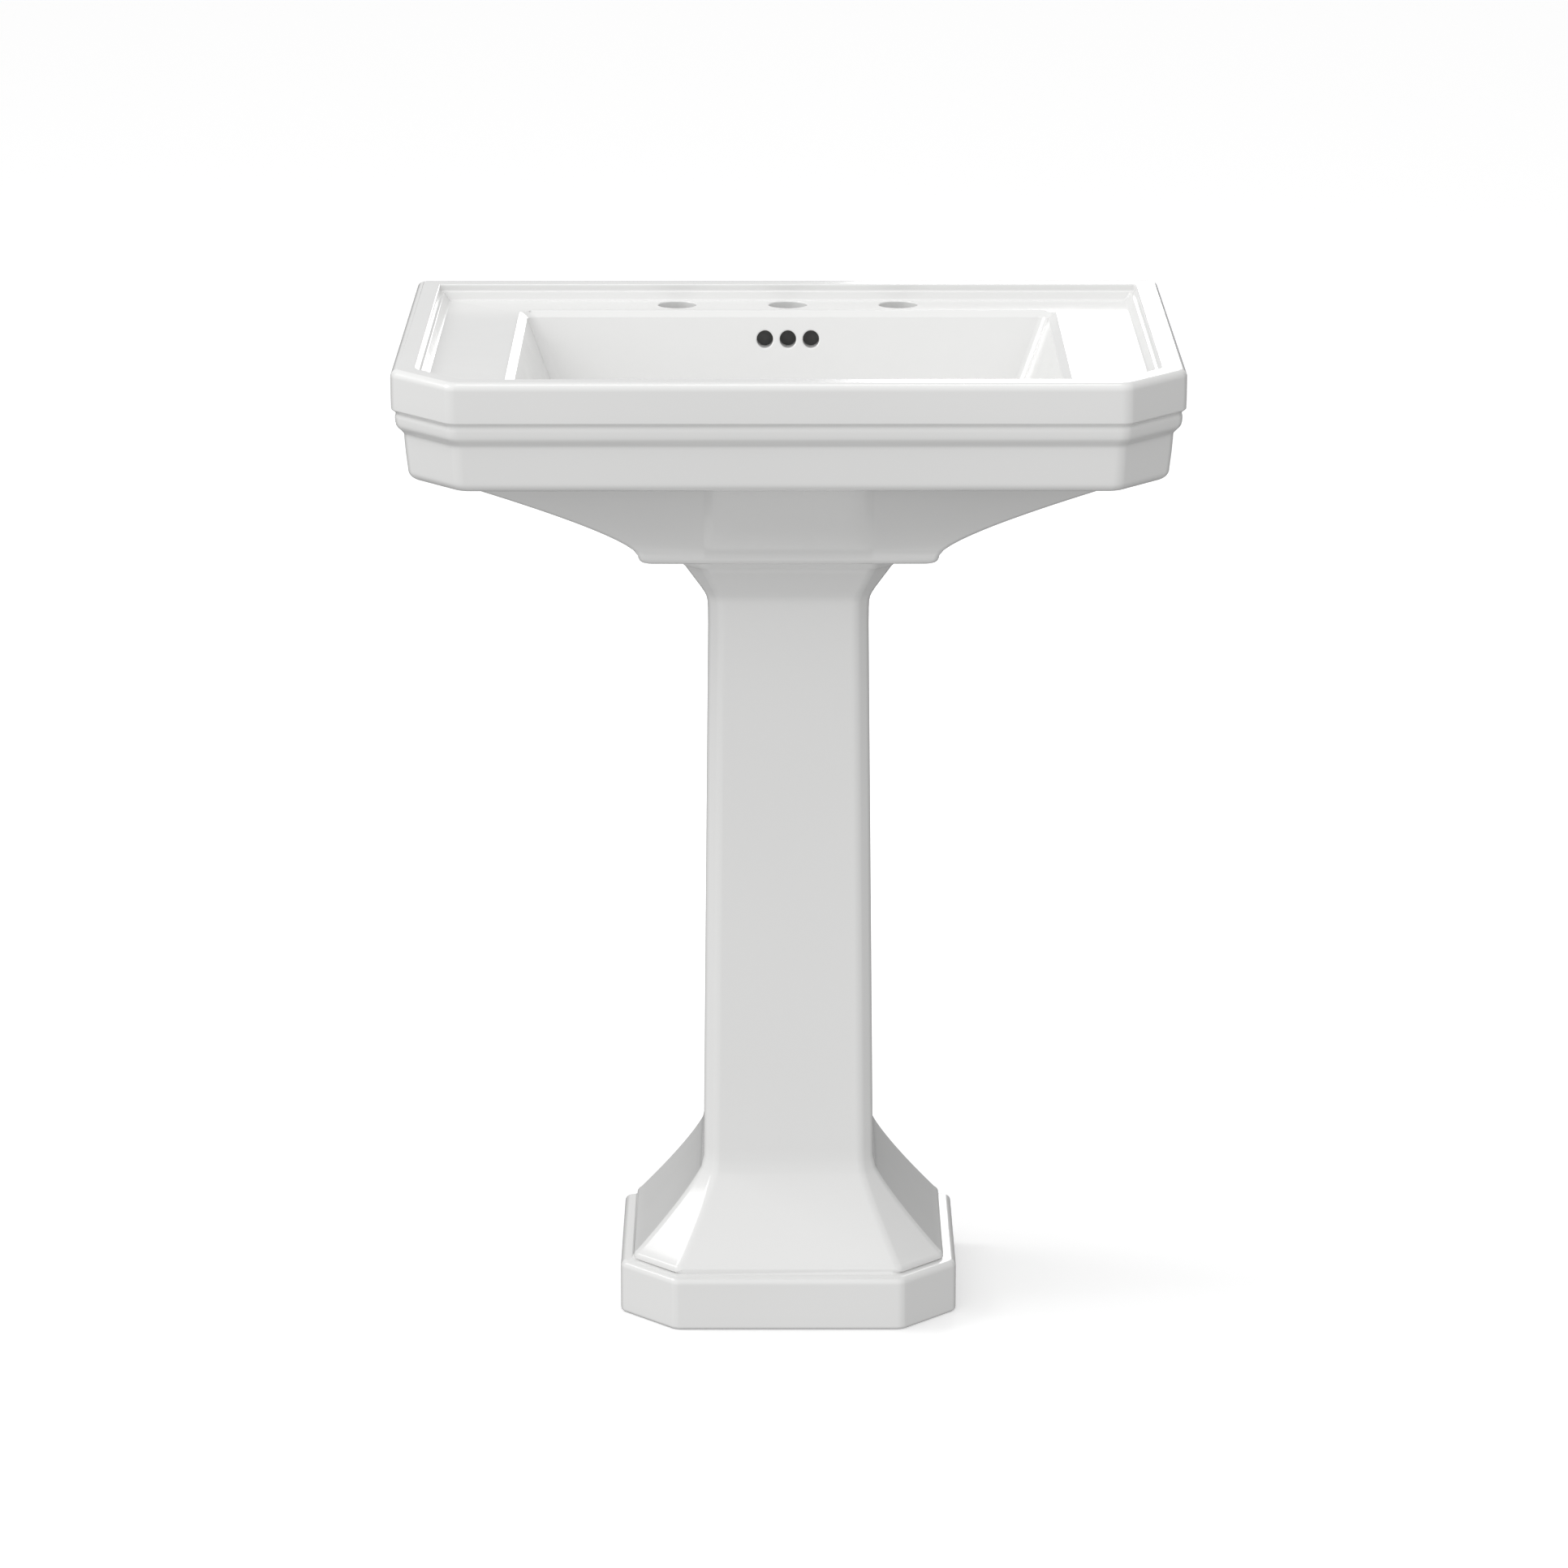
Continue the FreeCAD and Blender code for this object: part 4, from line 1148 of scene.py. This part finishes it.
@dataclass
class Spring:
    """Helical spring round the stopper's stem; the real one shortens as the stopper goes down, and this one
    keeps one length.
    """

    low: Vector
    high: Vector
    wire_radius: float = 0.7 * MM
    turns: int = 6
    steps_per_turn: int = 32
    wire_points: int = 10
    keep: float = 0.64

    def frame_at(self, step: int) -> tuple[Vector, Vector, Vector]:
        """Wire centre at one step, with the two directions across the wire.

        Args:
            step: Step along the helix, from its lower end.

        Returns:
            Centre, outward direction and upward direction, the last two square to the wire.
        """
        middle = (self.low + self.high) / 2
        radius = (self.high.x - self.low.x) / 2 - self.wire_radius
        bottom = self.low.z + self.wire_radius
        rise = self.high.z - self.low.z - 2 * self.wire_radius
        angle = 2 * math.pi * step / self.steps_per_turn
        out = Vector((math.cos(angle), math.sin(angle), 0.0))
        pitch = rise / (2 * math.pi * self.turns)
        along = Vector((-radius * math.sin(angle), radius * math.cos(angle), pitch)).normalized()
        height = bottom + rise * step / (self.turns * self.steps_per_turn)
        return Vector((middle.x, middle.y, height)) + out * radius, out, along.cross(out)

    def build(self, steel: bpy.types.Material) -> bpy.types.Object:
        """Sweeps a round wire up the helix and closes its two ends.

        Args:
            steel: Material of the wire.

        Returns:
            The finished piece.
        """
        bm = bmesh.new()
        levels = []
        for step in range(self.turns * self.steps_per_turn + 1):
            centre, out, up = self.frame_at(step)
            levels.append(circle_points(centre, self.wire_radius, self.wire_points, out, up))
        rings = loft(bm, levels)
        for ring in (rings[0], rings[-1]):
            bmesh.ops.contextual_create(bm, geom=ring_edges(ring))
        piece = finish_piece("stopper_spring_coil", bm, [steel])
        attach(piece, Body.SINK.value)
        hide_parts("stopper_spring")
        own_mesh(piece)
        return piece


@dataclass
class Fittings:
    """The drain, tailpiece and trap, whose parts keep their own shapes."""

    finishes: dict[str, Metal | Moulded]

    def dress(self) -> None:
        """Gives every fitting the finish of its material slot."""
        made = {slot: finish.make() for slot, finish in self.finishes.items()}
        for entry in frame["record"]["subparts"]:
            if entry["material_slot"] not in made:
                continue
            node = frame["nodes"][entry["node"]]
            for holder in node.material_slots:
                holder.material = made[entry["material_slot"]]
            LOG.info("%s: %s", entry["node"], made[entry["material_slot"]].name)


# ---- studio ---------------------------------------------------------------------------


@dataclass
class Studio:
    """Pale floor, soft lights and the camera."""

    distance: float = 5254.3 * MM
    side: float = -13.7 * MM
    height: float = 1902.3 * MM
    pitch: float = 15.239
    yaw: float = 0.108
    lens: float = 137.9
    ambient: float = 0.575
    dimmest: float = 0.26
    gradient: tuple[float, float, float] = (-0.20, -0.425, 0.39)

    def build(self) -> None:
        """Builds the floor, the lights and the camera."""
        bpy.context.scene.view_settings.view_transform = "Standard"
        self.add_floor()
        self.add_world()
        self.add_panel("left_panel", Vector((-3.5, 0.3, 3.9)), (2.0, 2.0), 52.0, Vector((0, 0, 0.8)))
        self.add_panel("top_panel", Vector((0.0, -0.1, 4.5)), (1.6, 1.2), 12.0, Vector((0.0, -0.1, 0.0)))
        self.add_panel("backdrop", Vector((0.0, 4.2, 2.5)), (7.0, 3.2), 26.0, Vector((0.0, 0.0, 2.5)))
        self.add_panel("rear_panel", Vector((0.55, 3.2, 1.75)), (0.86, 1.6), 14.0, Vector((0.55, 0, 1.75)))
        self.add_camera()

    def add_floor(self) -> None:
        """Lays a large pale floor under the sink."""
        bm = bmesh.new()
        bmesh.ops.create_grid(bm, x_segments=1, y_segments=1, size=60.0)
        mesh = bpy.data.meshes.new("studio_floor")
        bm.to_mesh(mesh)
        bm.free()
        floor = bpy.data.objects.new("studio_floor", mesh)
        bpy.context.scene.collection.objects.link(floor)
        mesh.materials.append(StudioFloor().make())
        floor.visible_diffuse = False
        floor.visible_glossy = False

    def add_world(self) -> None:
        """Lights the scene from all round, more from the left and above than from the right."""
        world = bpy.data.worlds.new("studio_world")
        world.use_nodes = True
        nodes, links = world.node_tree.nodes, world.node_tree.links
        way = nodes.new("ShaderNodeTexCoord").outputs["Generated"]
        slope = nodes.new("ShaderNodeVectorMath")
        slope.operation = "DOT_PRODUCT"
        slope.inputs[1].default_value = self.gradient
        total = nodes.new("ShaderNodeMath")
        total.operation = "ADD"
        total.inputs[1].default_value = self.ambient
        least = nodes.new("ShaderNodeMath")
        least.operation = "MAXIMUM"
        least.inputs[1].default_value = self.dimmest
        links.new(way, slope.inputs[0])
        links.new(slope.outputs["Value"], total.inputs[0])
        links.new(total.outputs["Value"], least.inputs[0])
        background = nodes["Background"]
        background.inputs["Color"].default_value = (1.0, 1.0, 1.0, 1.0)
        links.new(least.outputs["Value"], background.inputs["Strength"])
        bpy.context.scene.world = world

    def add_panel(
        self, name: str, place: Vector, size: tuple[float, float], power: float, target: Vector
    ) -> None:
        """Adds one soft light panel that faces a point.

        Args:
            name: Name of the light.
            place: Where it stands, in metres.
            size: Width and height of the panel.
            power: Watts.
            target: Point that it faces.
        """
        light = bpy.data.lights.new(name, "AREA")
        light.shape = "RECTANGLE"
        light.size, light.size_y = size
        light.energy = power
        lamp = bpy.data.objects.new(name, light)
        bpy.context.scene.collection.objects.link(lamp)
        lamp.location = place
        lamp.rotation_euler = (target - place).to_track_quat("-Z", "Y").to_euler()

    def add_camera(self) -> None:
        """Sets the camera in front of the sink, looking down on it."""
        data = bpy.data.cameras.new("camera")
        data.lens = self.lens
        data.sensor_width = 36.0
        data.clip_end = 200.0
        camera = bpy.data.objects.new("camera", data)
        bpy.context.scene.collection.objects.link(camera)
        camera.location = Vector((self.side, -self.distance, self.height))
        camera.rotation_euler = (math.radians(90 - self.pitch), 0.0, math.radians(-self.yaw))
        bpy.context.scene.camera = camera


def main() -> None:
    """Builds every piece around the frame."""
    logging.basicConfig(level=logging.INFO, format="%(name)s %(message)s")
    studio = Studio()
    studio.build()
    glaze = Glaze().make()
    basin_low, basin_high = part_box("basin")
    pedestal_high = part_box("pedestal")[1]
    basin = Basin(
        half_width=basin_high.x, front=basin_low.y, wall=basin_high.y, top=basin_high.z, foot=basin_low.z
    )
    # the second material paints the overflow channel dark grey as painted shade
    basin.build(glaze, PaintedShadeClay().make())
    Pedestal(front=basin_low.y, top=pedestal_high.z).build(glaze)
    Spring(*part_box("stopper_spring")).build(SPRING_STEEL.make())
    Fittings({
        "chrome": CHROME,
        "plated_brass": PLATED_BRASS,
        "spring_steel": SPRING_STEEL,
        "rubber": RUBBER,
        "white_plastic": WHITE_PLASTIC,
    }).dress()


if __name__ == "__main__":
    main()
